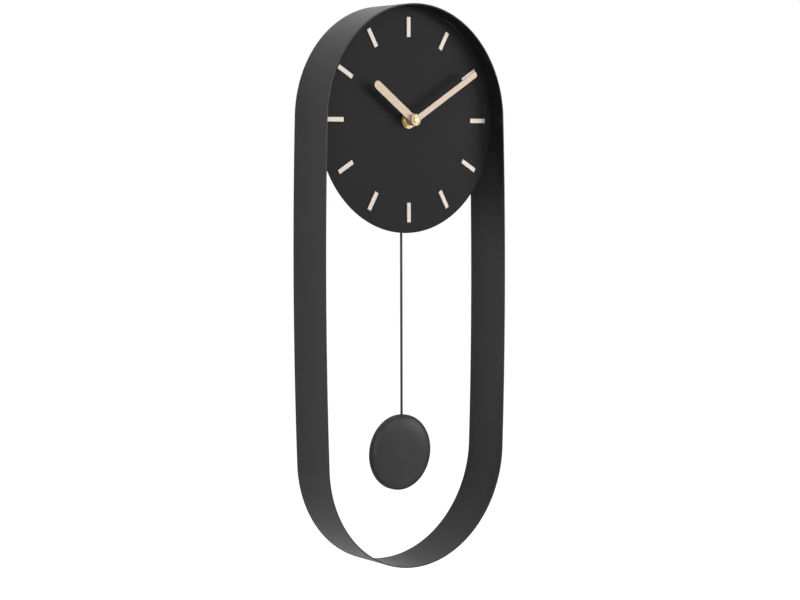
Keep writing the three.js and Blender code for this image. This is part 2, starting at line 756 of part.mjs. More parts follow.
// Stator, coil and core of the stepping motor
const coilLeft = rotorAxle.x - COIL_OFFSET - COIL_LENGTH / 2;
const coilRight = coilLeft + COIL_LENGTH;
const coreFront = layerFront(LAYERS.motor) - GAP - WHEEL_THICKNESS;
const coreMiddle = coreFront + WHEEL_THICKNESS / 2;

function makeCoilCore() {
  const outline = rectangle(
    coilLeft - CORE_OVERHANG,
    coilRight + CORE_OVERHANG,
    -coilDrop - CORE_HEIGHT / 2,
    -coilDrop + CORE_HEIGHT / 2,
  );
  return piece("coil_core", plate(outline, coreFront, coreFront + WHEEL_THICKNESS), FINISHES.steel);
}

function makeMotorCoil() {
  const pieces = [
    barAlongX(coilLeft, coilRight, coreMiddle, -coilDrop, COIL_RADIUS),
    barAlongX(coilLeft, coilLeft + COIL_FLANGE, coreMiddle, -coilDrop, coilRadiusOver - GAP),
    barAlongX(coilRight - COIL_FLANGE, coilRight, coreMiddle, -coilDrop, coilRadiusOver - GAP),
  ];
  const half = CORE_HEIGHT / 2 + GAP;
  const room = rectangle(coilLeft - GAP, coilRight + GAP, -coilDrop - half, -coilDrop + half);
  const bore = plate(room, coreFront - GAP, coreFront + WHEEL_THICKNESS + GAP);
  return piece("motor_coil", build(pieces, [bore]), FINISHES.copper);
}

function makeStator() {
  const front = layerFront(LAYERS.motor);
  const back = front + WHEEL_THICKNESS;
  const ringRadius = MAGNET_RADIUS + ROTOR_GAP + STATOR_RING;
  const legTop = rotorAxle.z - ringRadius + STATOR_RING;
  const barBottom = -coilDrop + coilRadiusOver;
  const legBottom = -coilDrop - CORE_HEIGHT / 2;
  const leftLeg = coilLeft - CORE_OVERHANG;
  const rightLeg = coilRight + CORE_OVERHANG;
  const legWidth = CORE_OVERHANG - GAP;
  const pieces = [
    disc(rotorAxle.x, rotorAxle.z, ringRadius, front, back, 24),
    plate(rectangle(leftLeg, rightLeg, barBottom, legTop), front, back),
    plate(rectangle(leftLeg, leftLeg + legWidth, legBottom, legTop), front, back),
    plate(rectangle(rightLeg - legWidth, rightLeg, legBottom, legTop), front, back),
  ];
  const hole = disc(rotorAxle.x, rotorAxle.z, MAGNET_RADIUS + ROTOR_GAP, front - GAP, back + GAP, 24);
  return piece("stator", build(pieces, [hole]), FINISHES.steel);
}

const boardLeft = -insideHalfWidth + GAP;
const boardBottom = -batteryRibDrop + GAP;
const boardFront = pendulumPlane;

function makeCircuitBoard() {
  const board = plate(
    rectangle(boardLeft, boardLeft + BOARD_WIDTH, boardBottom, boardBottom + BOARD_HEIGHT),
    boardFront,
    boardFront + BOARD_THICKNESS,
  );
  const chip = disc(
    boardLeft + CHIP_SIZE,
    boardBottom + BOARD_HEIGHT - CHIP_SIZE,
    CHIP_SIZE / 2,
    boardFront + BOARD_THICKNESS / 2,
    boardFront + BOARD_THICKNESS + CHIP_HEIGHT,
    12,
  );
  return piece("circuit_board", build([board, chip]), FINISHES.board);
}

function makeQuartzCrystal() {
  const left = boardLeft + CHIP_SIZE;
  const y = boardFront + BOARD_THICKNESS + GAP + CRYSTAL_RADIUS;
  const z = boardBottom + CRYSTAL_RADIUS + GAP;
  const can = barAlongX(left, left + CRYSTAL_LENGTH, y, z, CRYSTAL_RADIUS, 12);
  return piece("quartz_crystal", can, FINISHES.steel);
}

function makeBattery() {
  const half = BATTERY_LENGTH / 2;
  const tip = half + BATTERY_TIP_LENGTH;
  const pieces = [
    barAlongX(-half, half, batteryDepth, -batteryDrop, BATTERY_RADIUS, 24),
    barAlongX(half - GAP, tip, batteryDepth, -batteryDrop, BATTERY_TIP_RADIUS, 16),
  ];
  return piece("battery", build(pieces), FINISHES.battery);
}

// Each contact is a strip between the battery's end and the housing's side wall
function makeContact(name, inner, outer) {
  const crown = Math.sign(outer) * CONTACT_THICKNESS;
  const half = CONTACT_WIDTH / 2;
  const middle = -batteryDrop;
  const outline = [
    new THREE.Vector2(outer, middle - half),
    new THREE.Vector2(outer, middle + half),
    new THREE.Vector2(outer - crown, middle + half),
    new THREE.Vector2(outer - crown, middle + half / 2),
    new THREE.Vector2(inner, middle),
    new THREE.Vector2(outer - crown, middle - half / 2),
    new THREE.Vector2(outer - crown, middle - half),
  ];
  const strip = outer > 0 ? outline : outline.reverse();
  const front = batteryDepth - half;
  return piece(name, plate(strip, front, front + CONTACT_WIDTH), FINISHES.steel);
}

function makeContacts() {
  const wall = insideHalfWidth - GAP;
  const half = BATTERY_LENGTH / 2;
  return [
    makeContact("battery_contact_plus", half + BATTERY_TIP_LENGTH + GAP, wall),
    makeContact("battery_contact_minus", -half - GAP, -wall),
  ];
}

// Housing: a tray open at the back, with a threaded bush, ribs, a post and blind pivot holes
function housingOutline(inset) {
  return roundedRectangle(
    -HOUSING_HALF_WIDTH + inset,
    HOUSING_HALF_WIDTH - inset,
    housingBottom + inset,
    HOUSING_TOP - inset,
    HOUSING_CORNER - inset,
  );
}

function makeHousing() {
  const wallBack = coverFront - GAP;
  const post = minuteWheelAxle;
  const pivots = [thirdAxle, fourthAxle, fifthAxle, rotorAxle, settingAxle];
  const half = insideHalfWidth + HOUSING_WALL / 2;
  const ribs = [batteryRibDrop, driveRibDrop].map((drop) =>
    plate(rectangle(-half, half, -drop - RIB_THICKNESS, -drop), housingFront, wallBack),
  );
  const bossBack = housingInside + PIVOT_BOSS_HEIGHT;
  const pivotBoss = disc(0, -pivotDrop, PIVOT_BOSS_RADIUS, housingFront, bossBack, 20);
  const walls = plate(housingOutline(0), housingFront, wallBack, [housingOutline(HOUSING_WALL)]);
  const front = plate(housingOutline(0), housingFront, housingInside);
  const pieces = [
    walls,
    front,
    ...ribs,
    pivotBoss,
    disc(0, 0, BUSH_RADIUS, bushFront, housingInside, 24),
    disc(post.x, post.z, postRadius, housingFront, layerFront(LAYERS.motion) + WHEEL_THICKNESS, 12),
  ];
  const armRoom = ARM_WAIST / 2 + DRIVE_ROOM * Math.tan(radians(SWING)) + LAYER_GAP;
  const armSlot = plate(
    rectangle(-armRoom, armRoom, housingBottom - GAP, housingBottom + HOUSING_WALL + GAP),
    pendulumPlane - ARM_THICKNESS,
    wallBack + GAP,
  );
  const cuts = [
    disc(0, 0, HOUR_PIPE_RADIUS + GAP, bushFront - GAP, housingInside + GAP, 24),
    ...pivots.map((axle) => arbor(axle, ARBOR_RADIUS + RUNNING, pivotFront - GAP, housingInside + GAP)),
    disc(0, -pivotDrop, PIVOT_RADIUS + GLUE, housingInside, bossBack + GAP, 12),
    armSlot,
  ];
  return piece("movement_housing", build(pieces, cuts), FINISHES.blackPlastic);
}

// Cover: closes the housing from behind, open over the battery so that it can be changed
function makeCover() {
  const halfBattery = insideHalfWidth - GAP;
  const window = rectangle(
    -halfBattery,
    halfBattery,
    -batteryDrop - BATTERY_RADIUS - GAP,
    -batteryDrop + BATTERY_RADIUS + GAP,
  );
  const knobHole = circle(settingAxle.x, settingAxle.z, SETTING_SHAFT_RADIUS + GAP, 16);
  const plateWithHoles = plate(housingOutline(0), coverFront, coverBack, [window, knobHole]);
  const bossFront = pendulumPlane + ARM_THICKNESS / 2 + LAYER_GAP;
  const boss = disc(0, -pivotDrop, PIVOT_BOSS_RADIUS, bossFront, coverBack, 20);
  const hole = disc(0, -pivotDrop, PIVOT_RADIUS + GLUE, bossFront - GAP, coverFront, 12);
  return piece("movement_cover", build([plateWithHoles, boss], [hole]), FINISHES.blackPlastic);
}

// Bridge: the plate behind the wheels that holds their back pivots
function makeBridge() {
  const left = minuteWheelAxle.x;
  const right = insideHalfWidth - GAP;
  const outline = roundedRectangle(
    left,
    right,
    -centreWheelReach,
    HOUSING_TOP - HOUSING_WALL - GAP,
    HOUSING_CORNER - HOUSING_WALL,
  );
  const axles = [centreAxle, thirdAxle, fourthAxle, fifthAxle, rotorAxle];
  const holes = axles.map((axle) => circle(axle.x, axle.z, ARBOR_RADIUS + RUNNING, 12));
  return piece("train_bridge", plate(outline, bridgeFront, bridgeBack, holes), FINISHES.whitePlastic);
}

function makePivotPin() {
  const pin = disc(0, -pivotDrop, PIVOT_RADIUS, housingInside + GLUE, coverFront - GLUE, 12);
  return piece("pendulum_pivot_pin", pin, FINISHES.steel);
}

function makeDriveCoil() {
  const front = housingInside + GAP;
  const back = pendulumPlane - ARM_THICKNESS / 2 - LAYER_GAP;
  const z = -pivotDrop - DRIVE_MAGNET_DROP;
  return piece("drive_coil", ring(0, z, DRIVE_COIL_RADIUS, DRIVE_COIL_BORE, front, back), FINISHES.copper);
}

// Swing arm: hangs on the pivot pin, carries the drive magnet and ends in a hole for the rod
const armBottom = housingBottom - ARM_BELOW_HOUSING;
const rodHoleDepth = armBottom + ARM_WAIST / 2;
const armFront = pendulumPlane - ARM_THICKNESS / 2;
const armBack = pendulumPlane + ARM_THICKNESS / 2;

function makeSwingArm() {
  const magnetZ = -pivotDrop - DRIVE_MAGNET_DROP;
  const half = ARM_WAIST / 2;
  const pieces = [
    disc(0, -pivotDrop, ARM_TOP_RADIUS, armFront, armBack, 24),
    plate(rectangle(-half, half, rodHoleDepth, -pivotDrop), armFront, armBack),
    disc(0, magnetZ, DRIVE_MAGNET_RADIUS + DRIVE_MAGNET_SEAT, armFront, armBack, 24),
    disc(0, rodHoleDepth, half, armFront, armBack, 20),
  ];
  const cuts = [
    [-pivotDrop, PIVOT_RADIUS + RUNNING],
    [magnetZ, DRIVE_MAGNET_RADIUS + GAP],
    [rodHoleDepth, ROD_RADIUS + GAP],
  ].map(([z, radius]) => disc(0, z, radius, armFront - GAP, armBack + GAP, 16));
  return piece("swing_arm", build(pieces, cuts), FINISHES.whitePlastic);
}

function makeDriveMagnet() {
  const z = -pivotDrop - DRIVE_MAGNET_DROP;
  const magnet = disc(0, z, DRIVE_MAGNET_RADIUS, armFront + GLUE, armBack - GLUE, 20);
  return piece("drive_magnet", magnet, FINISHES.magnet);
}

// Rod: straight from the bob, then stepped behind the arm and turned forward through its hole
const bobCentre = BAND_WALL - BAND_HEIGHT + BOB_ABOVE_BOTTOM + bandTop - dialAxis;

function makeRod() {
  const stepBack = ARM_THICKNESS / 2 + GAP + ROD_RADIUS;
  const hookTop = rodHoleDepth;
  const stepEnd = armBottom - ROD_RADIUS - GAP;
  const stepStart = stepEnd - 2 * stepBack;
  const path = new THREE.CatmullRomCurve3(
    [
      new THREE.Vector3(0, 0, stepStart - 2 * ROD_RADIUS),
      new THREE.Vector3(0, 0, stepStart),
      new THREE.Vector3(0, stepBack, stepEnd),
      new THREE.Vector3(0, stepBack, hookTop - 2 * ROD_RADIUS),
      new THREE.Vector3(0, stepBack - ROD_RADIUS / 2, hookTop - ROD_RADIUS / 2),
      new THREE.Vector3(0, stepBack - 2 * ROD_RADIUS, hookTop),
      new THREE.Vector3(0, -stepBack, hookTop),
    ],
    false,
    "centripetal",
  );
  const section = new THREE.Shape(circle(0, 0, ROD_RADIUS, 10));
  const hook = new THREE.ExtrudeGeometry(section, { steps: 18, extrudePath: path });
  const straight = barAlongZ(bobCentre, stepStart - ROD_RADIUS, 0, 0, ROD_RADIUS, 10);
  const mesh = piece("pendulum_rod", build([straight, hook]), FINISHES.powderCoat);
  mesh.position.y = pendulumPlane;
  return mesh;
}

// Bob: two pressed shells, rim to rim, each a shallow dome with a round shoulder
function bobProfile(radius, rise, rim, steps) {
  const points = [];
  for (let i = 0; i <= steps; i++) {
    const turn = (Math.PI / 2) * (i / steps);
    const reach = Math.sin(turn);
    const height = rim + (rise - rim) * Math.sqrt(1 - reach ** 3);
    points.push(new THREE.Vector2(radius * reach, height));
  }
  return points;
}

function makeBobShell(name, side) {
  const steps = 8;
  const edge = GAP / 2;
  const outer = bobProfile(BOB_RADIUS, BOB_THICKNESS / 2, BOB_RIM / 2, steps);
  const inner = bobProfile(BOB_RADIUS - BOB_SHEET, BOB_THICKNESS / 2 - BOB_SHEET, BOB_SHEET / 2, steps);
  const profile = [
    ...outer,
    new THREE.Vector2(BOB_RADIUS, edge),
    new THREE.Vector2(BOB_RADIUS - BOB_SHEET, edge),
    ...inner.reverse(),
  ];
  const signed = profile.map((point) => new THREE.Vector2(point.x, side * point.y));
  const ordered = side > 0 ? signed.reverse() : signed;
  const dome = new THREE.LatheGeometry(ordered, 40);
  const rodWay = barAlongZ(0, BOB_RADIUS + GAP, 0, -BOB_BEHIND_ROD, ROD_RADIUS + GAP, 10);
  const mesh = piece(name, build([dome], [rodWay]), FINISHES.powderCoat);
  mesh.position.set(0, pendulumPlane + BOB_BEHIND_ROD, bobCentre);
  return mesh;
}

const movement = groupOf(
  makeHousing(),
  makeCover(),
  makeBridge(),
  makeBattery(),
  ...makeContacts(),
  makeCircuitBoard(),
  makeQuartzCrystal(),
  makeCoilCore(),
  makeMotorCoil(),
  makeStator(),
  makeRotor(),
  ...makeTrain(),
  makeCentreWheel(),
  makeMinuteWheel(),
  makeHourWheel(),
  makeSettingKnob(),
  makePivotPin(),
  makeDriveCoil(),
);

const pendulum = groupOf(
  makeSwingArm(),
  makeDriveMagnet(),
  makeRod(),
  makeBobShell("bob_front_shell", -1),
  makeBobShell("bob_back_shell", 1),
);

const dialMounting = Object.entries(BRACKET_ANGLES).flatMap(([side, angle]) => [
  makeBracket(side, angle),
  makeBracketNut(side, angle),
]);

// Everything in this group is placed from the dial's axis
const head = groupOf(
  makeDial(),
  ...dialMounting,
  ...makeMarkers(),
  ...makeBushFixings(),
  makeHourHand(),
  makeMinuteHand(),
  makeHandNut(),
  movement,
  pendulum,
);
head.position.z = dialAxis;

const clock = groupOf(makeBand(), makeHangerPlate(), head);

export default clock;
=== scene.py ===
# Finishes and fine shapes for a pendulum wall clock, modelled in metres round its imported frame.
# +X is right, +Z is up, the dial faces -Y and the wall is the plane Y = 0.
import json
import math
from contextlib import contextmanager

import bmesh
import bpy
from bpy.props import FloatProperty, FloatVectorProperty, PointerProperty
from bpy.types import Operator, Panel, PropertyGroup, Scene
from mathutils import Matrix, Vector


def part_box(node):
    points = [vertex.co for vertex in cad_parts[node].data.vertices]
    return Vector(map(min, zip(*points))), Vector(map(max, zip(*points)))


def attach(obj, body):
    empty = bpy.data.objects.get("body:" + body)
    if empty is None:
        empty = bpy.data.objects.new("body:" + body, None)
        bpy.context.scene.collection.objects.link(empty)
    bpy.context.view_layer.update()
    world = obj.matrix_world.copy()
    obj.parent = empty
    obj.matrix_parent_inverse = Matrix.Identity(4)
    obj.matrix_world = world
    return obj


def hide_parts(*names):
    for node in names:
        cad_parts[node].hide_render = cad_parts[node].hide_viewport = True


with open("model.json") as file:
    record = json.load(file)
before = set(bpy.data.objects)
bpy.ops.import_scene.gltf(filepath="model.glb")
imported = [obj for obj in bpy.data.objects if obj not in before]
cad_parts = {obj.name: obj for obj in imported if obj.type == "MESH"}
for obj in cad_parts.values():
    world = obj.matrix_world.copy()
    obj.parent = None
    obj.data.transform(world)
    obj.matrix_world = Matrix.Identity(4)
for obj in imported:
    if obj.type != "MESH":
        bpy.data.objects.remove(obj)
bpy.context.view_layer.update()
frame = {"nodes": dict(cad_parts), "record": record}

bl_info = {
    "name": "Pendulum wall clock",
    "version": (1, 0, 0),
    "blender": (4, 5, 0),
    "location": "3D View > Sidebar > Clock",
    "description": "Models and finishes the pieces of a pendulum wall clock",
    "category": "Object",
}

MM = 0.001
WELD = 0.004 * MM  # vertices closer than this are one
CURVE_PLAY = 0.02 * MM  # keeps the band's fine curves inside the coarser ones of the frame
SMOOTH_ANGLE = math.radians(32)
SHARP_ANGLE = math.radians(40)
FLAT_ANGLE = math.radians(0.5)  # faces that turn by less than this lie in one plane
HOURS = 12
STUDS = ("left", "right", "top")

# Places read from the frame
BAND_LOW, BAND_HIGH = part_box("case_band")
DIAL_LOW, DIAL_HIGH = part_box("dial_plate")
WASHER_LOW, WASHER_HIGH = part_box("fixing_washer")
AXIS = Vector((0, 0, (WASHER_LOW.z + WASHER_HIGH.z) / 2))

# The photograph's view: the lens in millimetres, how the camera is turned and where it stands
CAMERA_LENS = 80.21
SENSOR_WIDTH = 36
CAMERA_AZIMUTH = math.radians(39.57)
CAMERA_PITCH = math.radians(-4.79)
CAMERA_ROLL = math.radians(-0.12)
CAMERA_DISTANCE = 1593.99 * MM
CAMERA_RIGHT = -2.25 * MM
CAMERA_RISE = -11.39 * MM
LAMP_DISTANCE = 1600 * MM


def linear(hex_colour):
    """An sRGB hex colour as linear red, green, blue and alpha."""
    channels = [int(hex_colour[i : i + 2], 16) / 255 for i in (1, 3, 5)]
    return (*((c / 12.92 if c <= 0.04045 else ((c + 0.055) / 1.055) ** 2.4) for c in channels), 1)


def length(name, description, millimetres):
    """A length, given in millimetres and kept in metres."""
    return FloatProperty(
        name=name,
        description=description,
        default=millimetres * MM,
        min=0,
        precision=5,
        unit="LENGTH",
    )


def turn(name, description, degrees):
    """An angle, given in degrees."""
    return FloatProperty(
        name=name, description=description, default=math.radians(degrees), unit="ROTATION"
    )


def colour(name, description, hex_colour):
    """A colour, given in sRGB hex and kept linear."""
    return FloatVectorProperty(
        name=name,
        description=description,
        default=linear(hex_colour),
        size=4,
        min=0,
        max=1,
        subtype="COLOR",
    )


class ClockSizes(PropertyGroup):
    """Sizes that the frame doesn't give"""

    band_wall: length("Band wall", "Thickness of the band's steel", 1.2)
    band_edge: length("Band edge", "Rounding of the band's cut edges", 0.4)
    dial_sheet: length("Dial sheet", "Thickness of the dial", 1.2)
    dial_edge: length("Dial edge", "Rounding of the dial's rim", 0.25)
    bush_hole: length("Bush hole", "Radius of the hole in the dial's middle", 4.2)
    stud_radius: length("Stud radius", "Radius of the dial's welded studs", 1.5)
    marker_edge: length("Marker edge", "Rounding of a marker's front edges", 0.25)
    hand_sheet: length("Hand sheet", "Thickness of a hand", 0.8)
    hand_edge: length("Hand edge", "Rounding of a hand's edges", 0.14)
    hour_length: length("Hour hand length", "From the axis to the tip", 54)
    hour_width: length("Hour hand width", "Width of the hour hand", 7.5)
    hour_hub: length("Hour hub", "Radius of the hour hand's round end", 5.4)
    hour_angle: turn("Hour hand angle", "Clockwise from twelve", -53.6)
    minute_length: length("Minute hand length", "From the axis to the tip", 83)
    minute_width: length("Minute hand width", "Width of the minute hand", 5.25)
    minute_hub: length("Minute hub", "Radius of the minute hand's round end", 5.15)
    minute_angle: turn("Minute hand angle", "Clockwise from twelve", 59.4)
    bob_sheet: length("Bob sheet", "Thickness of the bob's pressed shells", 1)
    bob_rim: length("Bob rim", "Height of the straight rim of the two shells together", 3)
    mould_edge: length("Moulded edge", "Rounding of the plastic pieces' edges", 0.3)
    mark_depth: length("Mark depth", "Depth of the marks moulded into the cover", 0.6)
    cut_edge: length("Cut edge", "Rounding of small steel pieces' edges", 0.15)


class ClockColours(PropertyGroup):
    """Colours of the finishes"""

    powder_coat: colour("Powder coat", "Satin black coat on the band", "#151515")
    # Painted lighter than the band's black: a lit copy of the same powder coat
    bob_coat_painted_lighter: colour("Bob coat", "Satin black coat on the bob", "#303030")
    dial_paint: colour("Dial paint", "Matt black paint on the dial", "#1a1a1a")
    champagne: colour("Champagne", "Anodised hands", "#a39484")
    pale_champagne: colour("Pale champagne", "Anodised hour markers", "#b0a79e")
    brass: colour("Brass", "Turned brass of the nuts and collets", "#d2bc90")
    zinc: colour("Zinc", "Plated steel", "#b4b6b8")
    magnet: colour("Magnet", "Nickel-plated magnet", "#77787c")
    black_plastic: colour("Black plastic", "Moulded housing", "#1d1d1f")
    white_plastic: colour("White plastic", "Moulded wheels and swing arm", "#e9e7df")
    resist: colour("Solder resist", "Circuit board", "#2c5a3c")
    copper: colour("Copper", "Enamelled wire", "#b5653a")
    jacket: colour("Battery jacket", "Plain battery jacket", "#8f9296")
    jacket_end: colour("Battery jacket end", "Darker end of the battery jacket", "#3c4a5a")
    rubber: colour("Rubber", "Cushion washer", "#181818")
    wall: colour("Wall", "White wall behind the clock", "#f4f4f4")
    floor: colour("Floor", "Pale floor", "#f4f4f4")


def add(tree, kind, sockets=None, **settings):
    """Adds a node, sets what it is given and links the sockets that are given an output."""
    made = tree.nodes.new(kind)
    for name, value in settings.items():
        setattr(made, name, value)
    for name, value in (sockets or {}).items():
        if isinstance(value, bpy.types.NodeSocket):
            tree.links.new(value, made.inputs[name])
        else:
            made.inputs[name].default_value = value
    return made


def empty_tree(owner):
    """The node tree of a new material or world, with nothing in it."""
    owner.use_nodes = True
    owner.node_tree.nodes.clear()
    return owner.node_tree


def material(name, surface):
    """A material whose surface function adds its textures and returns the shader's sockets."""
    made = bpy.data.materials.new(name)
    tree = empty_tree(made)
    shader = add(tree, "ShaderNodeBsdfPrincipled", surface(tree))
    add(tree, "ShaderNodeOutputMaterial", {"Surface": shader.outputs["BSDF"]})
    return made


def shade(base, factor):
    """A linear colour made lighter or darker."""
    return (*(min(1, channel * factor) for channel in base[:3]), 1)


def patchy(tree, pattern, base, roughness, dark, pale, play):
    """A tint between a darker and a paler shade, and a gloss, that both follow a pattern."""
    tint = add(
        tree,
        "ShaderNodeMix",
        {0: pattern, 6: shade(base, dark), 7: shade(base, pale)},
        data_type="RGBA",
    )
    gloss = add(
        tree,
        "ShaderNodeMapRange",
        {"Value": pattern, "To Min": roughness - play, "To Max": roughness + play},
    )
    return {"Base Color": tint.outputs[2], "Roughness": gloss.outputs["Result"]}


def coated_steel(tree, base, roughness, specular, grain):
    """Baked coat: a faint mottle, and an orange peel drawn coarser than it is, so that it shows."""
    mottle_width = 18 * MM
    peel_depth = 0.02 * MM
    here = add(tree, "ShaderNodeTexCoord").outputs["Object"]
    mottle = add(
        tree, "ShaderNodeTexNoise", {"Vector": here, "Scale": 1 / mottle_width, "Detail": 3}
    )
    peel = add(tree, "ShaderNodeTexNoise", {"Vector": here, "Scale": 1 / grain, "Detail": 2})
    bump = add(
        tree,
        "ShaderNodeBump",
        {"Height": peel.outputs["Fac"], "Strength": 0.25, "Distance": peel_depth},
    )
    return {
        **patchy(tree, mottle.outputs["Fac"], base, roughness, dark=0.93, pale=1.07, play=0.03),
        "Normal": bump.outputs["Normal"],
        "Specular IOR Level": specular,
        "IOR": 1.5,
    }


def brushed_metal(tree, base, roughness, streak):
    """Satin metal brushed outwards from the dial's axis, with streaks in its gloss and tint.

    The streaks are drawn wider than they are, so that they show."""
    even_reach = 50 * MM  # the streaks have their width at this distance from the axis
    streak_length = 12 * MM
    streak_depth = 0.01 * MM
    here = add(tree, "ShaderNodeTexCoord").outputs["Object"]
    centred = add(tree, "ShaderNodeMapping", {"Vector": here, "Location": -AXIS})
    parts = add(tree, "ShaderNodeSeparateXYZ", {"Vector": centred.outputs["Vector"]})
    angle = add(
        tree, "ShaderNodeMath", {0: parts.outputs["X"], 1: parts.outputs["Z"]}, operation="ARCTAN2"
    )
    reach = add(tree, "ShaderNodeVectorMath", {0: centred.outputs["Vector"]}, operation="LENGTH")
    polar = add(
        tree, "ShaderNodeCombineXYZ", {"X": angle.outputs["Value"], "Y": reach.outputs["Value"]}
    )
    stretched = add(
        tree,
        "ShaderNodeMapping",
        {"Vector": polar.outputs["Vector"], "Scale": (even_reach / streak, 1 / streak_length, 1)},
    )
    streaks = add(
        tree, "ShaderNodeTexNoise", {"Vector": stretched.outputs["Vector"], "Scale": 1, "Detail": 4}
    )
    bump = add(
        tree,
        "ShaderNodeBump",
        {"Height": streaks.outputs["Fac"], "Strength": 0.3, "Distance": streak_depth},
    )
    return {
        **patchy(tree, streaks.outputs["Fac"], base, roughness, dark=0.9, pale=1.08, play=0.08),
        "Metallic": 0.7,  # the clear oxide over the metal dulls its mirror
        "Normal": bump.outputs["Normal"],
    }


def plated_metal(tree, base, roughness, blotch):
    """Plated or turned metal: cloudy patches in the gloss, drawn larger than they are."""
    here = add(tree, "ShaderNodeTexCoord").outputs["Object"]
    clouds = add(tree, "ShaderNodeTexNoise", {"Vector": here, "Scale": 1 / blotch, "Detail": 4})
    tones = patchy(tree, clouds.outputs["Fac"], base, roughness, dark=0.85, pale=1.1, play=0.1)
    return {**tones, "Metallic": 1}


def moulded_plastic(tree, base, roughness, grit, depth):
    """Moulded plastic: the mould's eroded texture, drawn coarser than it is, and a faint tint."""
    flow_width = 9 * MM
    here = add(tree, "ShaderNodeTexCoord").outputs["Object"]
    cells = add(tree, "ShaderNodeTexVoronoi", {"Vector": here, "Scale": 1 / grit})
    flow = add(tree, "ShaderNodeTexNoise", {"Vector": here, "Scale": 1 / flow_width, "Detail": 2})
    tint = add(
        tree,
        "ShaderNodeMix",
        {0: flow.outputs["Fac"], 6: shade(base, 0.95), 7: shade(base, 1.05)},
        data_type="RGBA",
    )
    bump = add(
        tree,
        "ShaderNodeBump",
        {"Height": cells.outputs["Distance"], "Strength": 0.4, "Distance": depth},
    )
    return {
        "Base Color": tint.outputs[2],
        "Roughness": roughness,
        "Normal": bump.outputs["Normal"],
        "IOR": 1.52,
    }


def wound_wire(tree, base, centre, wave_type, direction):
    """Enamelled wire, its turns drawn wider than they are, so that they show, with painted shade in
    the grooves between them.
    """
    turn_width = 0.7 * MM
    turn_depth = 0.1 * MM
    here = add(tree, "ShaderNodeTexCoord").outputs["Object"]
    centred = add(tree, "ShaderNodeMapping", {"Vector": here, "Location": -centre})
    scale = math.pi / (10 * turn_width)  # at a scale of 1 the wave repeats every pi / 10
    turns = add(
        tree,
        "ShaderNodeTexWave",
        {"Vector": centred.outputs["Vector"], "Scale": scale, "Distortion": 0.4},
        wave_type=wave_type,
        **direction,
    )
    # Painted shade: the copper goes dark in the grooves between turns, and is a touch paler on
    # their crests
    tint = add(
        tree,
        "ShaderNodeMix",
        {0: turns.outputs["Fac"], 6: shade(base, 0.45), 7: shade(base, 1.1)},
        data_type="RGBA",
    )
    bump = add(
        tree,
        "ShaderNodeBump",
        {"Height": turns.outputs["Fac"], "Strength": 0.8, "Distance": turn_depth},
    )
    return {
        "Base Color": tint.outputs[2],
        "Metallic": 0.9,
        "Roughness": 0.3,
        "Normal": bump.outputs["Normal"],
        "Coat Weight": 0.5,
    }


def printed_board(tree, base):
    """Glass epoxy under green resist, with the tracks showing through as paler lines."""
    track_width = 0.15 * MM
    track_length = 4 * MM
    track_pitch = 1.3 * MM
    here = add(tree, "ShaderNodeTexCoord").outputs["Object"]
    flat = add(tree, "ShaderNodeMapping", {"Vector": here, "Rotation": (math.pi / 2, 0, 0)})
    tracks = add(
        tree,
        "ShaderNodeTexBrick",
        {
            "Vector": flat.outputs["Vector"],
            "Scale": 1,
            "Color1": base,
            "Color2": shade(base, 0.9),
            "Mortar": shade(base, 1.8),
            "Mortar Size": track_width,
            "Brick Width": track_length,
            "Row Height": track_pitch,
        },
    )
    return {"Base Color": tracks.outputs["Color"], "Roughness": 0.3, "Coat Weight": 0.4}


def battery_jacket(tree, base, end, split):
    """Lacquered film shrunk round the cell, darker past the split."""
    ripple_width = 6 * MM
    ripple_depth = 0.05 * MM
    here = add(tree, "ShaderNodeTexCoord").outputs["Object"]
    parts = add(tree, "ShaderNodeSeparateXYZ", {"Vector": here})
    past = add(tree, "ShaderNodeMath", {0: parts.outputs["X"], 1: split}, operation="GREATER_THAN")
    tint = add(
        tree, "ShaderNodeMix", {0: past.outputs["Value"], 6: base, 7: end}, data_type="RGBA"
    )
    ripple = add(
        tree, "ShaderNodeTexNoise", {"Vector": here, "Scale": 1 / ripple_width, "Detail": 1}
    )
    bump = add(
        tree,
        "ShaderNodeBump",
        {"Height": ripple.outputs["Fac"], "Strength": 0.15, "Distance": ripple_depth},
    )
    return {
        "Base Color": tint.outputs[2],
        "Roughness": 0.28,
        "Normal": bump.outputs["Normal"],
        "Coat Weight": 0.6,
    }


finishes = {}


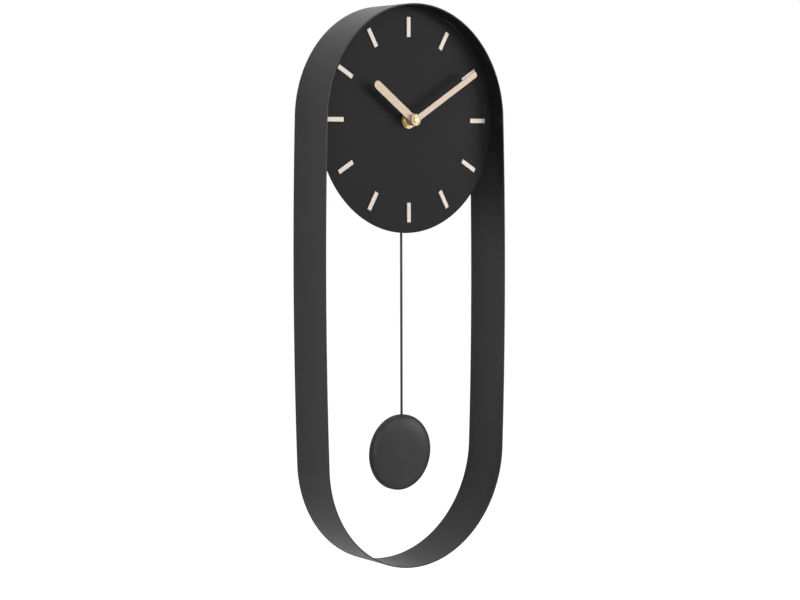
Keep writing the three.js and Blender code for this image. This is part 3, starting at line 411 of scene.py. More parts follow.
def make_finishes(colours):
    """Makes every material once, named for what the real one is."""
    motor_low, motor_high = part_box("motor_coil")
    drive_low, drive_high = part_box("drive_coil")
    jacket_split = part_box("battery")[1].x - 15 * MM
    surfaces = {
        # Epoxy powder baked on steel: satin black that goes pale where it is seen edge-on
        "powder_coated_steel": lambda tree: coated_steel(
            tree, colours.powder_coat, roughness=0.35, specular=0.39, grain=1.4 * MM
        ),
        # The same black powder on the bob, in a greyer copy: the lighter grey is a painted sheen
        # for the light the bob catches, with a softer highlight
        "powder_coated_bob": lambda tree: coated_steel(
            tree, colours.bob_coat_painted_lighter, roughness=0.38, specular=0.15, grain=1.4 * MM
        ),
        # Sprayed matt black: soft and flat, with hardly any highlight
        "matt_painted_steel": lambda tree: coated_steel(
            tree, colours.dial_paint, roughness=0.5, specular=0.08, grain=0.5 * MM
        ),
        # Anodised aluminium, brushed along its length: pale gold with a broad soft sheen
        "champagne_anodised_aluminium": lambda tree: brushed_metal(
            tree, colours.champagne, roughness=0.5, streak=0.4 * MM
        ),
        # The same, paler
        "pale_anodised_aluminium": lambda tree: brushed_metal(
            tree, colours.pale_champagne, roughness=0.5, streak=0.4 * MM
        ),
        # Turned and lacquered: warm yellow with a broad, slightly patchy glint
        "turned_brass": lambda tree: plated_metal(
            tree, colours.brass, roughness=0.5, blotch=2 * MM
        ),
        # Zinc on steel: grey with a slightly blotchy gloss
        "zinc_plated_steel": lambda tree: plated_metal(
            tree, colours.zinc, roughness=0.36, blotch=4 * MM
        ),
        # Nickel on a sintered magnet: darker and glossier than the zinc
        "nickel_plated_magnet": lambda tree: plated_metal(
            tree, colours.magnet, roughness=0.3, blotch=3 * MM
        ),
        # Spark-eroded mould texture: a dull black that shows its edges
        "moulded_abs": lambda tree: moulded_plastic(
            tree, colours.black_plastic, roughness=0.5, grit=0.35 * MM, depth=0.02 * MM
        ),
        # Acetal: slightly waxy and even
        "moulded_acetal": lambda tree: moulded_plastic(
            tree, colours.white_plastic, roughness=0.36, grit=0.6 * MM, depth=0.005 * MM
        ),
        # Nitrile rubber, pressed in a mould: dead matt
        "moulded_rubber": lambda tree: moulded_plastic(
            tree, colours.rubber, roughness=0.85, grit=0.5 * MM, depth=0.03 * MM
        ),
        # Enamelled copper wire in even turns: bright orange-brown lines with painted shade between
        # them
        "wound_copper_on_bobbin": lambda tree: wound_wire(
            tree, colours.copper, (motor_low + motor_high) / 2, "BANDS", {"bands_direction": "X"}
        ),
        "wound_copper_ring": lambda tree: wound_wire(
            tree, colours.copper, (drive_low + drive_high) / 2, "RINGS", {"rings_direction": "Y"}
        ),
        # Etched and resist-coated laminate: glossy green with paler tracks
        "resist_on_glass_epoxy": lambda tree: printed_board(tree, colours.resist),
        # Printed film shrunk on by heat: a smooth gloss with a slight ripple
        "lacquered_film": lambda tree: battery_jacket(
            tree, colours.jacket, colours.jacket_end, jacket_split
        ),
    }
    for name, surface in surfaces.items():
        finishes[name] = material(name, surface)


def select_only(piece):
    """Makes a piece the active one and the only one selected."""
    bpy.ops.object.select_all(action="DESELECT")
    piece.select_set(True)
    bpy.context.view_layer.objects.active = piece


def start(kind, name, stretch=(1, 1, 1), **settings):
    """Adds a primitive with nothing else selected, stretches it and fixes its place in its mesh."""
    bpy.ops.object.select_all(action="DESELECT")
    getattr(bpy.ops.mesh, f"primitive_{kind}_add")(**settings)
    piece = bpy.context.object
    piece.name = name
    piece.scale = stretch
    bpy.ops.object.transform_apply(location=True, rotation=True, scale=True)
    return piece


@contextmanager
def editing(piece, kind="VERT"):
    """Edit mode on one piece, with all of it selected."""
    select_only(piece)
    bpy.ops.object.mode_set(mode="EDIT")
    bpy.ops.mesh.select_mode(type=kind)
    bpy.ops.mesh.select_all(action="SELECT")
    yield
    bpy.ops.object.mode_set(mode="OBJECT")


def pick(piece, kind, test):
    """In edit mode, selects the verts, edges or faces that pass a test and nothing else."""
    bpy.ops.mesh.select_all(action="DESELECT")
    mesh = bmesh.from_edit_mesh(piece.data)
    for element in getattr(mesh, kind):
        if test(element):
            element.select_set(True)
    mesh.select_flush_mode()
    bmesh.update_edit_mesh(piece.data)


def close_up(piece):
    """Merges doubles, which closes seams and poles, and turns every face outwards."""
    with editing(piece):
        bpy.ops.mesh.remove_doubles(threshold=WELD)
        bpy.ops.mesh.normals_make_consistent(inside=False)


def join_flats(piece):
    """Joins up the faces of each flat."""
    with editing(piece):
        bpy.ops.mesh.dissolve_limited(angle_limit=FLAT_ANGLE)


def modify(piece, kind, **settings):
    """Adds a modifier with its settings and applies it."""
    select_only(piece)
    bpy.ops.object.modifier_add(type=kind)
    modifier = piece.modifiers[-1]
    for name, value in settings.items():
        setattr(modifier, name, value)
    bpy.ops.object.modifier_apply(modifier=modifier.name)


def combine(piece, tool, operation):
    """Joins, cuts or intersects a piece with a tool, which is used up."""
    modify(piece, "BOOLEAN", object=tool, operation=operation, solver="EXACT")
    bpy.data.objects.remove(tool)


def round_edges(piece, width, segments=2):
    """Rounds the sharp edges."""
    modify(
        piece,
        "BEVEL",
        width=width,
        segments=segments,
        limit_method="ANGLE",
        angle_limit=SHARP_ANGLE,
        miter_outer="MITER_ARC",
    )


def smooth(piece, weighted=True):
    """Smooth shading between sharp edges; weighted normals keep flat faces flat."""
    select_only(piece)
    bpy.ops.object.shade_smooth_by_angle(angle=SMOOTH_ANGLE)
    if weighted:
        modify(piece, "WEIGHTED_NORMAL", keep_sharp=True)


def shift(piece, offset, angle=0, around="Y"):
    """Turns a piece about an axis through the origin, then moves it, all in its mesh."""
    piece.data.transform(Matrix.Translation(offset) @ Matrix.Rotation(angle, 4, around))


def turned(name, outline, steps=96):
    """A body turned about the Y axis from (radius, y) points; a ring's outline is closed."""
    points = [Vector((radius, y, 0)) for radius, y in outline]
    piece = start("plane", name, size=MM)
    with editing(piece):
        bpy.ops.mesh.merge(type="CENTER")
        bpy.ops.transform.translate(value=points[0])
        for before, after in zip(points, points[1:]):
            bpy.ops.mesh.extrude_region_move(TRANSFORM_OT_translate={"value": after - before})
        bpy.ops.mesh.select_all(action="SELECT")
        bpy.ops.mesh.spin(steps=steps, angle=2 * math.pi, center=(0, 0, 0), axis=(0, 1, 0))
    close_up(piece)
    return piece


def ring_outline(outer, inner, front, back):
    """A rectangular ring's section, closed."""
    return [(inner, front), (outer, front), (outer, back), (inner, back), (inner, front)]


def bar_along_y(name, radius, front, back, x=0, z=0, sides=32, twist=0):
    """A bar along Y, round or with a few sides."""
    return start(
        "cylinder",
        name,
        vertices=sides,
        radius=radius,
        depth=back - front,
        location=(x, (front + back) / 2, z),
        rotation=(math.pi / 2, twist, 0),
    )


def copy_of(node, name):
    """A CAD node's mesh copied to a new piece, merged, with its flat faces joined up."""
    piece = bpy.data.objects.new(name, frame["nodes"][node].data.copy())
    bpy.context.scene.collection.objects.link(piece)
    close_up(piece)
    join_flats(piece)
    return piece


def fit(piece, finish, body, slot, *nodes):
    """Gives a piece its finish and the body it rides on, and hides the CAD nodes it stands for. The
    slot is not used.
    """
    piece.data.materials.clear()
    piece.data.materials.append(finishes[finish])
    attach(piece, body)
    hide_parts(*nodes)


def second_finish(piece, finish, test):
    """Gives the faces that pass a test another finish."""
    piece.data.materials.append(finishes[finish])
    for face in piece.data.polygons:
        if test(face):
            face.material_index = 1


class CLOCK_OT_finishes(Operator):
    """Make the materials and give the carried-over pieces theirs"""

    bl_idname = "clock.finishes"
    bl_label = "Finishes"

    def execute(self, context):
        make_finishes(context.scene.clock_colours)
        by_slot = {
            "black_powder_coat": "powder_coated_steel",
            "dial_black": "matt_painted_steel",
            "champagne_aluminium": "champagne_anodised_aluminium",
            "brass": "turned_brass",
            "zinc_steel": "zinc_plated_steel",
            "magnet_steel": "nickel_plated_magnet",
            "black_plastic": "moulded_abs",
            "white_plastic": "moulded_acetal",
            "circuit_green": "resist_on_glass_epoxy",
            "copper_wire": "wound_copper_on_bobbin",
            "battery_jacket": "lacquered_film",
            "rubber": "moulded_rubber",
        }
        for subpart in frame["record"]["subparts"]:
            node = frame["nodes"][subpart["node"]]
            node.data.materials.clear()
            node.data.materials.append(finishes[by_slot[subpart["material_slot"]]])
        frame["nodes"]["drive_coil"].data.materials[0] = finishes["wound_copper_ring"]
        return {"FINISHED"}


class CLOCK_OT_band(Operator):
    """Bend the steel band: a rounded section spun along two end arcs and two shallow side arcs"""

    bl_idname = "clock.band"
    bl_label = "Steel band"

    def execute(self, context):
        sizes = context.scene.clock_sizes
        middle = (BAND_LOW + BAND_HIGH) / 2
        half_width = BAND_HIGH.x - CURVE_PLAY
        half_height = BAND_HIGH.z - middle.z - CURVE_PLAY
        end_radius = BAND_HIGH.z - AXIS.z - CURVE_PLAY
        end_centre = half_height - end_radius
        bow = half_width - end_radius
        side_radius = (half_width**2 + end_centre**2 - end_radius**2) / (2 * bow)
        side_centre = side_radius - half_width
        side_angle = math.atan2(end_centre, side_centre)
        wall = sizes.band_wall
        piece = start(
            "plane",
            "steel_band",
            size=1,
            location=(half_width - wall / 2, middle.y, middle.z),
            stretch=(wall, BAND_HIGH.y - BAND_LOW.y, 1),
        )
        side_steps = 16
        end_steps = 144
        with editing(piece):
            bpy.ops.mesh.bevel(offset=sizes.band_edge, segments=4, affect="VERTICES")
            bpy.ops.mesh.delete(type="ONLY_FACE")
            bpy.ops.mesh.select_all(action="SELECT")
            bends = [
                (-side_centre, 0, side_angle, side_steps),
                (0, end_centre, math.pi - 2 * side_angle, end_steps),
                (side_centre, 0, 2 * side_angle, 2 * side_steps),
                (0, -end_centre, math.pi - 2 * side_angle, end_steps),
                (-side_centre, 0, side_angle, side_steps),
            ]
            for x, rise, angle, steps in bends:
                centre = (x, middle.y, middle.z + rise)
                bpy.ops.mesh.spin(steps=steps, angle=angle, center=centre, axis=(0, 1, 0))
        close_up(piece)
        smooth(piece)
        fit(piece, "powder_coated_steel", "case", "black_powder_coat", "case_band")
        return {"FINISHED"}


class CLOCK_OT_dial(Operator):
    """Turn the dial with a rounded rim and weld its three studs on"""

    bl_idname = "clock.dial"
    bl_label = "Dial"

    def execute(self, context):
        sizes = context.scene.clock_sizes
        front = DIAL_LOW.y
        back = front + sizes.dial_sheet
        weld_depth = 0.4 * MM
        stud_edge = 0.3 * MM
        dial = turned("dial", ring_outline(DIAL_HIGH.x, sizes.bush_hole, front, back), steps=192)
        shift(dial, AXIS)
        round_edges(dial, sizes.dial_edge, segments=3)
        for side in STUDS:
            low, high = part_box("dial_nut_" + side)
            middle = (low + high) / 2
            foot = back - weld_depth
            stud = bar_along_y("stud", sizes.stud_radius, foot, DIAL_HIGH.y, middle.x, middle.z)
            round_edges(stud, stud_edge)
            combine(dial, stud, "UNION")
        smooth(dial)
        fit(dial, "matt_painted_steel", "case", "dial_black", "dial_plate")
        return {"FINISHED"}


class CLOCK_OT_markers(Operator):
    """Shape one marker baton and copy it to the twelve hours"""

    bl_idname = "clock.markers"
    bl_label = "Hour markers"

    def execute(self, context):
        sizes = context.scene.clock_sizes
        low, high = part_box("hour_marker_12")
        first = start("cube", "marker_12", high - low, size=1, location=(low + high) / 2)
        with editing(first, "EDGE"):
            near = low.y + WELD
            pick(first, "edges", lambda edge: all(vertex.co.y < near for vertex in edge.verts))
            bpy.ops.mesh.bevel(offset=sizes.marker_edge, segments=3, affect="EDGES")
        smooth(first)
        for hour in range(HOURS, 0, -1):
            number = f"{hour:02d}"
            node = "hour_marker_" + number
            piece = first
            if hour < HOURS:
                piece = bpy.data.objects.new("marker_" + number, first.data.copy())
                context.scene.collection.objects.link(piece)
                shift(piece, -AXIS)
                shift(piece, AXIS, 2 * math.pi * hour / HOURS)
            fit(piece, "pale_anodised_aluminium", "case", "champagne_aluminium", node)
        return {"FINISHED"}


def make_hand(name, node, reach, width, hub, angle, sizes):
    """A round-ended blade with a round eye, and the brass collet that is riveted into the eye."""
    low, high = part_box(node)
    front = low.y
    back = front + sizes.hand_sheet
    eye_wall = 1.3 * MM
    boss = hub - eye_wall
    sides = 64
    eye_sides = 72
    end = reach - width / 2
    blade = bar_along_y(name, width / 2, front, back, 0, end, sides, math.pi / sides)
    with editing(blade):
        pick(blade, "verts", lambda vertex: vertex.co.z < end)
        bpy.ops.transform.translate(value=(0, 0, -end))
    combine(blade, bar_along_y("eye", hub, front, back, sides=eye_sides), "UNION")
    hole = bar_along_y("hole", boss, front - MM, back + MM, sides=eye_sides)
    combine(blade, hole, "DIFFERENCE")
    join_flats(blade)
    round_edges(blade, sizes.hand_edge)
    smooth(blade)
    shift(blade, AXIS, angle)
    play = 0.02 * MM
    face = front + 0.12 * MM
    face_chamfer = 0.2 * MM
    plug = boss - play
    skirt = hub - 0.25 * MM
    skirt_chamfer = 0.3 * MM
    bore = 2 * MM
    outline = [
        (bore, face),
        (plug - face_chamfer, face),
        (plug, face + face_chamfer),
        (plug, back + play),
        (skirt, back + play),
        (skirt, high.y - skirt_chamfer),
        (skirt - skirt_chamfer, high.y),
        (bore, high.y),
        (bore, face),
    ]
    collet = turned(name + "_collet", outline)
    smooth(collet, weighted=False)
    shift(collet, AXIS)
    return blade, collet


class CLOCK_OT_hands(Operator):
    """Cut the two hands, rivet their collets and screw the nut on"""

    bl_idname = "clock.hands"
    bl_label = "Hands"

    def execute(self, context):
        sizes = context.scene.clock_sizes
        for kind in ("hour", "minute"):
            node = kind + "_hand"
            wanted = ("length", "width", "hub", "angle")
            values = [getattr(sizes, f"{kind}_{size}") for size in wanted]
            blade, collet = make_hand(kind + "_blade", node, *values, sizes)
            fit(blade, "champagne_anodised_aluminium", node, "champagne_aluminium", node)
            fit(collet, "turned_brass", node, "brass", node)
        low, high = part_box("hand_nut")
        radius = high.x
        dimple_floor = low.y + 0.15 * MM
        crown_width = 0.6 * MM
        crown_rise = 0.45 * MM
        back_chamfer = 0.2 * MM
        outline = [
            (0, dimple_floor),
            (0.7 * MM, dimple_floor),
            (0.9 * MM, low.y),
            (radius - crown_width, low.y),
            (radius, low.y + crown_rise),
            (radius, high.y - back_chamfer),
            (radius - back_chamfer, high.y),
            (0, high.y),
        ]
        nut = turned("hand_nut_turned", outline, steps=64)
        smooth(nut, weighted=False)
        shift(nut, AXIS)
        fit(nut, "turned_brass", "minute_hand", "brass", "hand_nut")
        return {"FINISHED"}


def hex_nut(name, node, bore):
    """A hexagon nut: a blank turned with chamfered corners, cut to six flats."""
    low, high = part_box(node)
    middle = (low + high) / 2
    corner = (high.x - low.x) / 2
    half_flat = math.pi / 6
    past_flat = 1.15  # the chamfer reaches a little past the middle of each flat
    chamfer = corner * (1 - math.cos(half_flat)) * past_flat
    drop = chamfer * math.tan(math.radians(30))
    lead_in = 0.3 * MM
    outline = [
        (bore + lead_in, low.y),
        (corner - chamfer, low.y),
        (corner, low.y + drop),
        (corner, high.y - drop),
        (corner - chamfer, high.y),
        (bore + lead_in, high.y),
        (bore, high.y - lead_in),
        (bore, low.y + lead_in),
        (bore + lead_in, low.y),
    ]
    nut = turned(name, outline)
    prism = bar_along_y("prism", corner, low.y - MM, high.y + MM, sides=6, twist=half_flat)
    combine(nut, prism, "INTERSECT")
    shift(nut, Vector((middle.x, 0, middle.z)))
    smooth(nut, weighted=False)
    return nut


class CLOCK_OT_fixings(Operator):
    """Make the nut and washer that clamp the movement, and the nuts on the dial's studs"""

    bl_idname = "clock.fixings"
    bl_label = "Nuts and washer"

    def execute(self, context):
        sizes = context.scene.clock_sizes
        outline = ring_outline(WASHER_HIGH.x, sizes.bush_hole, WASHER_LOW.y, WASHER_HIGH.y)
        washer = turned("dial_washer", outline)
        round_edges(washer, sizes.cut_edge)
        smooth(washer)
        shift(washer, AXIS)
        fit(washer, "turned_brass", "case", "brass", "fixing_washer")
        nut = hex_nut("dial_nut_brass", "fixing_nut", sizes.bush_hole)
        fit(nut, "turned_brass", "case", "brass", "fixing_nut")
        stud_bore = sizes.stud_radius + 0.15 * MM
        for side in STUDS:
            nut = hex_nut("stud_nut_" + side, "dial_nut_" + side, stud_bore)
            fit(nut, "zinc_plated_steel", "case", "zinc_steel", "dial_nut_" + side)
        return {"FINISHED"}


class CLOCK_OT_brackets(Operator):
    """Round the edges of the welded brackets and of the hanger plate"""

    bl_idname = "clock.brackets"
    bl_label = "Brackets and hanger"

    def execute(self, context):
        sizes = context.scene.clock_sizes
        for node in (*("dial_bracket_" + side for side in STUDS), "hanger_plate"):
            piece = copy_of(node, "steel_" + node)
            round_edges(piece, sizes.cut_edge)
            smooth(piece)
            fit(piece, "powder_coated_steel", "case", "black_powder_coat", node)
        return {"FINISHED"}


def bent_path(points, radius, steps=6):
    """The points with each corner rounded by a curve that starts a radius before it."""
    path = [points[0]]
    for before, corner, after in zip(points, points[1:], points[2:]):
        entry = corner + (before - corner).normalized() * radius
        leave = corner + (after - corner).normalized() * radius
        for i in range(steps + 1):
            t = i / steps
            path.append(entry.lerp(corner, t).lerp(corner.lerp(leave, t), t))
    path.append(points[-1])
    return path


class CLOCK_OT_rod(Operator):
    """Bend the wire rod: straight from the bob, stepped behind the arm and hooked through it"""

    bl_idname = "clock.rod"
    bl_label = "Pendulum rod"

    def execute(self, context):
        low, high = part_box("pendulum_rod")
        arm_low, arm_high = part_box("swing_arm")
        radius = high.x
        plane = (arm_low.y + arm_high.y) / 2
        behind = high.y - radius
        hook = high.z - radius
        clearance = 0.3 * MM
        step_top = arm_low.z - radius - clearance
        step_foot = step_top - 2 * (behind - plane)
        points = [
            Vector((0, plane, low.z)),
            Vector((0, plane, step_foot)),
            Vector((0, behind, step_top)),
            Vector((0, behind, hook)),
            Vector((0, low.y, hook)),
        ]
        wire = bpy.data.curves.new("rod_wire", "CURVE")
        wire.dimensions = "3D"
        wire.bevel_depth = radius
        wire.bevel_resolution = 6
        wire.use_fill_caps = True
        spline = wire.splines.new("POLY")
        bend = 1.4 * radius
        path = bent_path(points, bend)
        spline.points.add(len(path) - 1)
        for point, place in zip(spline.points, path):
            point.co = (*place, 1)
        rod = bpy.data.objects.new("wire_rod", wire)
        context.scene.collection.objects.link(rod)
        select_only(rod)
        bpy.ops.object.convert(target="MESH")
        close_up(rod)
        smooth(rod, weighted=False)
        fit(rod, "powder_coated_steel", "pendulum", "black_powder_coat", "pendulum_rod")
        return {"FINISHED"}


def dome(radius, rise, rim, steps=28, fullness=3):
    """(radius, height) points of a shallow dome with a round shoulder, from the middle outwards."""
    points = []
    for i in range(steps + 1):
        reach = math.sin(math.pi / 2 * i / steps)
        points.append((radius * reach, rim + (rise - rim) * math.sqrt(1 - reach**fullness)))
    return points


class CLOCK_OT_bob(Operator):
    """Press the bob's two shells, with a hole in the front one's top for the rod"""

    bl_idname = "clock.bob"
    bl_label = "Bob"

    def execute(self, context):
        sizes = context.scene.clock_sizes
        front_low, front_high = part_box("bob_front_shell")
        back_low, back_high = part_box("bob_back_shell")
        arm_low, arm_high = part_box("swing_arm")
        way_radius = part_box("pendulum_rod")[1].x + 0.3 * MM
        lip_edge = 0.3 * MM
        radius = front_high.x
        seam = (front_high.y + back_low.y) / 2
        edge = back_low.y - seam
        rise = back_high.y - seam
        sheet = sizes.bob_sheet
        outer = dome(radius, rise, sizes.bob_rim / 2)
        inner = dome(radius - sheet, rise - sheet, sizes.bob_rim / 2)
        lip = [(radius, edge + lip_edge), (radius - lip_edge, edge), (radius - sheet, edge)]
        middle = Vector((0, seam, (front_low.z + front_high.z) / 2))
        for name, side in (("bob_front", -1), ("bob_back", 1)):
            outline = [(reach, side * height) for reach, height in (*outer, *lip, *reversed(inner))]
            shell = turned(name, outline, steps=144)
            shift(shell, middle)
            if side < 0:
                top = front_high.z + MM
                way = start(
                    "cylinder",
                    "rod_way",
                    vertices=32,
                    radius=way_radius,
                    depth=top - middle.z,
                    location=(0, (arm_low.y + arm_high.y) / 2, (top + middle.z) / 2),
                )
                combine(shell, way, "DIFFERENCE")
            smooth(shell, weighted=False)
            fit(shell, "powder_coated_bob", "pendulum", "black_powder_coat", name + "_shell")
        return {"FINISHED"}


class CLOCK_OT_movement(Operator):
    """Round the moulded housing and cover, and shape the knob, the arm and the contacts"""

    bl_idname = "clock.movement"
    bl_label = "Movement"

    def mark_cover(self, cover, depth):
        """Sinks a plus and a minus beside the battery's window, and a ring round the knob."""
        battery_low, battery_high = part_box("battery")
        knob_low, knob_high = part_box("setting_knob")
        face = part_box("movement_cover")[1].y
        bar, stroke = 5 * MM, 1.2 * MM
        rise = battery_high.z + bar
        bars = [
            (battery_high.x - bar, bar, stroke),
            (battery_high.x - bar, stroke, bar),
            (battery_low.x + bar, bar, stroke),
        ]
        for x, width, height in bars:
            stretch = (width, 2 * depth, height)
            tool = start("cube", "bar", stretch, size=1, location=(x, face, rise))
            combine(cover, tool, "DIFFERENCE")
        knob_middle = (knob_low + knob_high) / 2
        gap, ring_width = 1.4 * MM, 0.8 * MM
        radius = knob_high.x - knob_middle.x + gap
        outline = ring_outline(radius + ring_width, radius, face - depth, face + depth)
        ring = turned("ring", outline, steps=64)
        shift(ring, Vector((knob_middle.x, 0, knob_middle.z)))
        combine(cover, ring, "DIFFERENCE")

    def execute(self, context):
        sizes = context.scene.clock_sizes
        housing = copy_of("movement_housing", "housing_tray")
        round_edges(housing, sizes.mould_edge)
        smooth(housing)
        fit(housing, "moulded_abs", "case", "black_plastic", "movement_housing")
        second_finish(housing, "turned_brass", lambda face: face.center.y < DIAL_LOW.y)
        cover = copy_of("movement_cover", "housing_cover")
        round_edges(cover, sizes.mould_edge)
        self.mark_cover(cover, sizes.mark_depth)
        smooth(cover)
        fit(cover, "moulded_abs", "case", "black_plastic", "movement_cover")
        knob = copy_of("setting_knob", "knob")
        knob_rim = 1.4 * MM
        dish_depth = 0.5 * MM
        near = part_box("setting_knob")[1].y - WELD
        with editing(knob, "FACE"):
            pick(knob, "faces", lambda face: all(vertex.co.y > near for vertex in face.verts))
            bpy.ops.mesh.inset(thickness=knob_rim, depth=-dish_depth)
        round_edges(knob, sizes.cut_edge)
        smooth(knob)
        fit(knob, "moulded_abs", "setting_knob", "black_plastic", "setting_knob")
        arm = copy_of("swing_arm", "arm")
        round_edges(arm, sizes.mould_edge)
        smooth(arm)
        fit(arm, "moulded_acetal", "pendulum", "white_plastic", "swing_arm")
        strip_edge = 0.1 * MM
        for end in ("plus", "minus"):
            node = "battery_contact_" + end
            strip = copy_of(node, "spring_strip_" + end)
            round_edges(strip, strip_edge)
            smooth(strip)
            fit(strip, "zinc_plated_steel", "case", "zinc_steel", node)
        return {"FINISHED"}


class CLOCK_OT_battery(Operator):
    """Turn the battery: a film jacket shrunk over the can's shoulders, with the cap at one end"""

    bl_idname = "clock.battery"
    bl_label = "Battery"

    def execute(self, context):
        low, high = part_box("battery")
        middle = (low + high) / 2
        radius = (high.z - low.z) / 2
        shoulder = high.x - 1.2 * MM
        cap = 2.7 * MM
        jacket_lip = 1.45 * MM  # how far the jacket reaches in over the ends
        minus_end = [
            (0, low.x + 0.3 * MM),
            (4.4 * MM, low.x + 0.3 * MM),
            (4.8 * MM, low.x + 0.6 * MM),
            (radius - 1.4 * MM, low.x + 0.6 * MM),
        ]
        jacket = [
            (radius - 1.2 * MM, low.x),
            (radius - 0.3 * MM, low.x + 0.1 * MM),
            (radius, low.x + 0.6 * MM),
            (radius, shoulder - 0.9 * MM),
            (radius - 0.5 * MM, shoulder - 0.2 * MM),
            (radius - 1.4 * MM, shoulder),
        ]
        plus_end = [
            (radius - 1.6 * MM, shoulder - 0.4 * MM),
            (cap + 0.5 * MM, shoulder - 0.2 * MM),
            (cap, shoulder + 0.1 * MM),
            (cap, high.x - 0.3 * MM),
            (cap - 0.4 * MM, high.x),
            (0, high.x),
        ]
        cell = turned("battery_cell", [*minus_end, *jacket, *plus_end])
        smooth(cell, weighted=False)
        shift(cell, Vector((0, 0, 0)), -math.pi / 2, "Z")
        shift(cell, Vector((0, middle.y, middle.z)))
        fit(cell, "lacquered_film", "case", "battery_jacket", "battery")

        def bare(face):
            across = face.center - Vector((face.center.x, middle.y, middle.z))
            return across.length < radius - jacket_lip

        second_finish(cell, "zinc_plated_steel", bare)
        return {"FINISHED"}


class CLOCK_OT_stage(Operator):
    """Set the camera, the soft lamps, the white surroundings and the pale floor"""

    bl_idname = "clock.stage"
    bl_label = "Stage"

    def set_camera(self, scene, middle):
        """Stands the camera where the photograph was taken from."""
        forward = Vector(
            (
                math.sin(CAMERA_AZIMUTH) * math.cos(CAMERA_PITCH),
                math.cos(CAMERA_AZIMUTH) * math.cos(CAMERA_PITCH),
                math.sin(CAMERA_PITCH),
            )
        )
        level = Vector((math.cos(CAMERA_AZIMUTH), -math.sin(CAMERA_AZIMUTH), 0))
        roll = Matrix.Rotation(-CAMERA_ROLL, 3, forward)
        right = roll @ level
        up = roll @ level.cross(forward)
        place = middle - forward * CAMERA_DISTANCE + right * CAMERA_RIGHT + up * CAMERA_RISE
        lens = bpy.data.cameras.new("photo_lens")
        lens.sensor_width = SENSOR_WIDTH
        lens.lens = CAMERA_LENS
        lens.dof.use_dof = False
        camera = bpy.data.objects.new("photo_camera", lens)
        facing = Matrix((right, up, -forward)).transposed().to_4x4()
        camera.matrix_world = Matrix.Translation(place) @ facing
        scene.collection.objects.link(camera)
        scene.camera = camera

    def set_world(self, scene):
        """White all round for the eye and for reflections, and much dimmer as a light."""
        dimmed = 0.24
        world = bpy.data.worlds.new("white_surroundings")
        tree = empty_tree(world)
        rays = add(tree, "ShaderNodeLightPath")
        seen = rays.outputs["Is Camera Ray"]
        for kind in ("Is Glossy Ray", "Is Transmission Ray"):
            either = add(
                tree, "ShaderNodeMath", {0: seen, 1: rays.outputs[kind]}, operation="MAXIMUM"
            )
            seen = either.outputs["Value"]
        strength = add(tree, "ShaderNodeMapRange", {"Value": seen, "To Min": dimmed, "To Max": 1})
        sky = add(
            tree,
            "ShaderNodeBackground",
            {"Color": (1, 1, 1, 1), "Strength": strength.outputs["Result"]},
        )
        add(tree, "ShaderNodeOutputWorld", {"Surface": sky.outputs["Background"]})
        scene.world = world

    def set_lamps(self, scene, middle):
        """Stands soft boxes round the clock, turned to its middle."""
        # Azimuth from the front towards the right and elevation in degrees, side in m, power in W
        lamps = {
            "key": (54, 6, 0.6, 8),
            "front_left": (-38, 10, 0.9, 10.5),
            "upper_left": (-52, 36, 0.7, 5.5),
            "upper_right": (20, 24, 0.35, 5),
            "back": (180, 62, 0.9, 9),
        }
        for name, (azimuth, elevation, side, power) in lamps.items():
            rise = math.radians(elevation)
            swing = math.radians(azimuth)
            level = LAMP_DISTANCE * math.cos(rise)
            offset = Vector(
                (level * math.sin(swing), -level * math.cos(swing), LAMP_DISTANCE * math.sin(rise))
            )
            light = bpy.data.lights.new(name + "_softbox", "AREA")
            light.shape = "SQUARE"
            light.size = side
            light.energy = power
            lamp = bpy.data.objects.new(name + "_lamp", light)
            lamp.location = middle + offset
            lamp.rotation_euler = (-offset).to_track_quat("-Z", "Y").to_euler()
            scene.collection.objects.link(lamp)

    def add_wall(self, scene):
        """A white wall right behind the clock, which only reflections show.

        Its shade beside the band and under the dial is what darkens the coat there. It is open
        behind the movement and, wider, behind the hanger plate, so that these aren't left dark."""
        case_low, case_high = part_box("movement_housing")
        opening = Vector((0, BAND_HIGH.y + MM, (case_low.z + case_high.z) / 2))
        half_width, half_height = 40 * MM, 58 * MM
        shoulder = opening.z + 25 * MM
        widening = 2
        spread = 30  # the wall's outer edge is this many times as large as its opening
        wall = start(
            "circle",
            "wall",
            (half_width, half_height, 1),
            vertices=96,
            radius=1,
            fill_type="NOTHING",
            location=opening,
            rotation=(math.pi / 2, 0, 0),
        )
        with editing(wall):
            pick(wall, "verts", lambda vertex: vertex.co.z > shoulder)
            bpy.ops.transform.resize(value=(widening, 1, 1), center_override=opening)
            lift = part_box("hanger_plate")[0].z - shoulder
            bpy.ops.transform.translate(value=(0, 0, lift))
        with editing(wall, "EDGE"):
            bpy.ops.mesh.extrude_region_move()
            bpy.ops.transform.resize(value=(spread, 1, spread), center_override=opening)
            bpy.ops.mesh.select_all(action="SELECT")
            bpy.ops.mesh.flip_normals()
        # White paint that is clear to every ray but reflections from its front side
        plaster = bpy.data.materials.new("white_painted_wall")
        tree = empty_tree(plaster)
        rays = add(tree, "ShaderNodeLightPath")
        side = add(tree, "ShaderNodeNewGeometry")
        shown = add(
            tree,
            "ShaderNodeMath",
            {0: rays.outputs["Is Glossy Ray"], 1: side.outputs["Backfacing"]},
            operation="SUBTRACT",
            use_clamp=True,
        )
        clear = add(tree, "ShaderNodeBsdfTransparent")
        paint = add(tree, "ShaderNodeBsdfDiffuse", {"Color": scene.clock_colours.wall})
        surface = add(
            tree,
            "ShaderNodeMixShader",
            {0: shown.outputs["Value"], 1: clear.outputs["BSDF"], 2: paint.outputs["BSDF"]},
        )
        add(tree, "ShaderNodeOutputMaterial", {"Surface": surface.outputs["Shader"]})
        wall.data.materials.append(plaster)

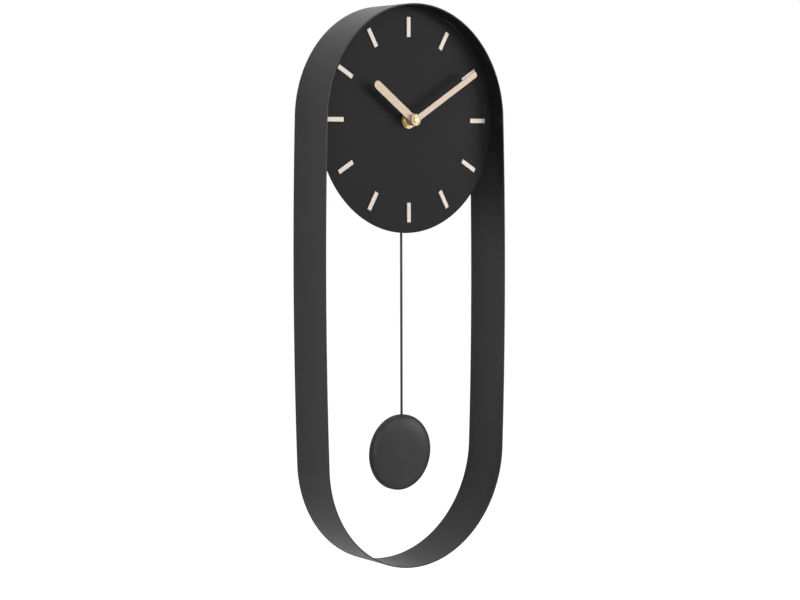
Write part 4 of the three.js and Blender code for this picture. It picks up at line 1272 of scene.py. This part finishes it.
    def add_floor(self, scene):
        """A pale floor well below the clock, with round corners."""
        drop = 0.33
        width = 8
        corner = 0.5
        towards_wall = 1
        seen_lift = 0.9
        mirrored_lift = 0.55
        floor = start("plane", "floor", size=width, location=(0, towards_wall, BAND_LOW.z - drop))
        with editing(floor):
            bpy.ops.mesh.bevel(offset=corner, segments=8, affect="VERTICES")
        # Matt paint that glows a little for the eye and for reflections, so that it melts into
        # the white surroundings
        ground = bpy.data.materials.new("pale_floor")
        tree = empty_tree(ground)
        base = scene.clock_colours.floor
        diffuse = add(tree, "ShaderNodeBsdfDiffuse", {"Color": base})
        rays = add(tree, "ShaderNodeLightPath")
        mirrored = add(
            tree,
            "ShaderNodeMath",
            {0: rays.outputs["Is Glossy Ray"], 1: mirrored_lift},
            operation="MULTIPLY",
        )
        lift = add(
            tree,
            "ShaderNodeMath",
            {0: rays.outputs["Is Camera Ray"], 1: seen_lift, 2: mirrored.outputs["Value"]},
            operation="MULTIPLY_ADD",
        )
        glow = add(tree, "ShaderNodeEmission", {"Color": base, "Strength": lift.outputs["Value"]})
        both = add(
            tree, "ShaderNodeAddShader", {0: diffuse.outputs["BSDF"], 1: glow.outputs["Emission"]}
        )
        add(tree, "ShaderNodeOutputMaterial", {"Surface": both.outputs["Shader"]})
        floor.data.materials.append(ground)

    def execute(self, context):
        scene = context.scene
        scene.view_settings.view_transform = "Standard"
        middle = (BAND_LOW + BAND_HIGH) / 2
        self.set_camera(scene, middle)
        self.set_world(scene)
        self.set_lamps(scene, middle)
        self.add_wall(scene)
        self.add_floor(scene)
        return {"FINISHED"}


OPERATORS = (
    CLOCK_OT_stage,
    CLOCK_OT_finishes,
    CLOCK_OT_band,
    CLOCK_OT_dial,
    CLOCK_OT_markers,
    CLOCK_OT_hands,
    CLOCK_OT_fixings,
    CLOCK_OT_brackets,
    CLOCK_OT_rod,
    CLOCK_OT_bob,
    CLOCK_OT_movement,
    CLOCK_OT_battery,
)


class CLOCK_PT_pieces(Panel):
    """The clock's pieces, sizes and colours"""

    bl_idname = "CLOCK_PT_pieces"
    bl_label = "Pendulum clock"
    bl_space_type = "VIEW_3D"
    bl_region_type = "UI"
    bl_category = "Clock"

    def draw(self, context):
        for operator in OPERATORS:
            self.layout.operator(operator.bl_idname)
        for group in (context.scene.clock_sizes, context.scene.clock_colours):
            box = self.layout.box()
            for name in group.__annotations__:
                box.prop(group, name)


CLASSES = (ClockSizes, ClockColours, *OPERATORS, CLOCK_PT_pieces)


def register():
    for kind in CLASSES:
        bpy.utils.register_class(kind)
    Scene.clock_sizes = PointerProperty(type=ClockSizes)
    Scene.clock_colours = PointerProperty(type=ClockColours)


def unregister():
    del Scene.clock_colours
    del Scene.clock_sizes
    for kind in reversed(CLASSES):
        bpy.utils.unregister_class(kind)


def main():
    register()
    for operator in OPERATORS:
        getattr(bpy.ops.clock, operator.bl_idname.split(".")[1])()


if __name__ == "__main__":
    main()
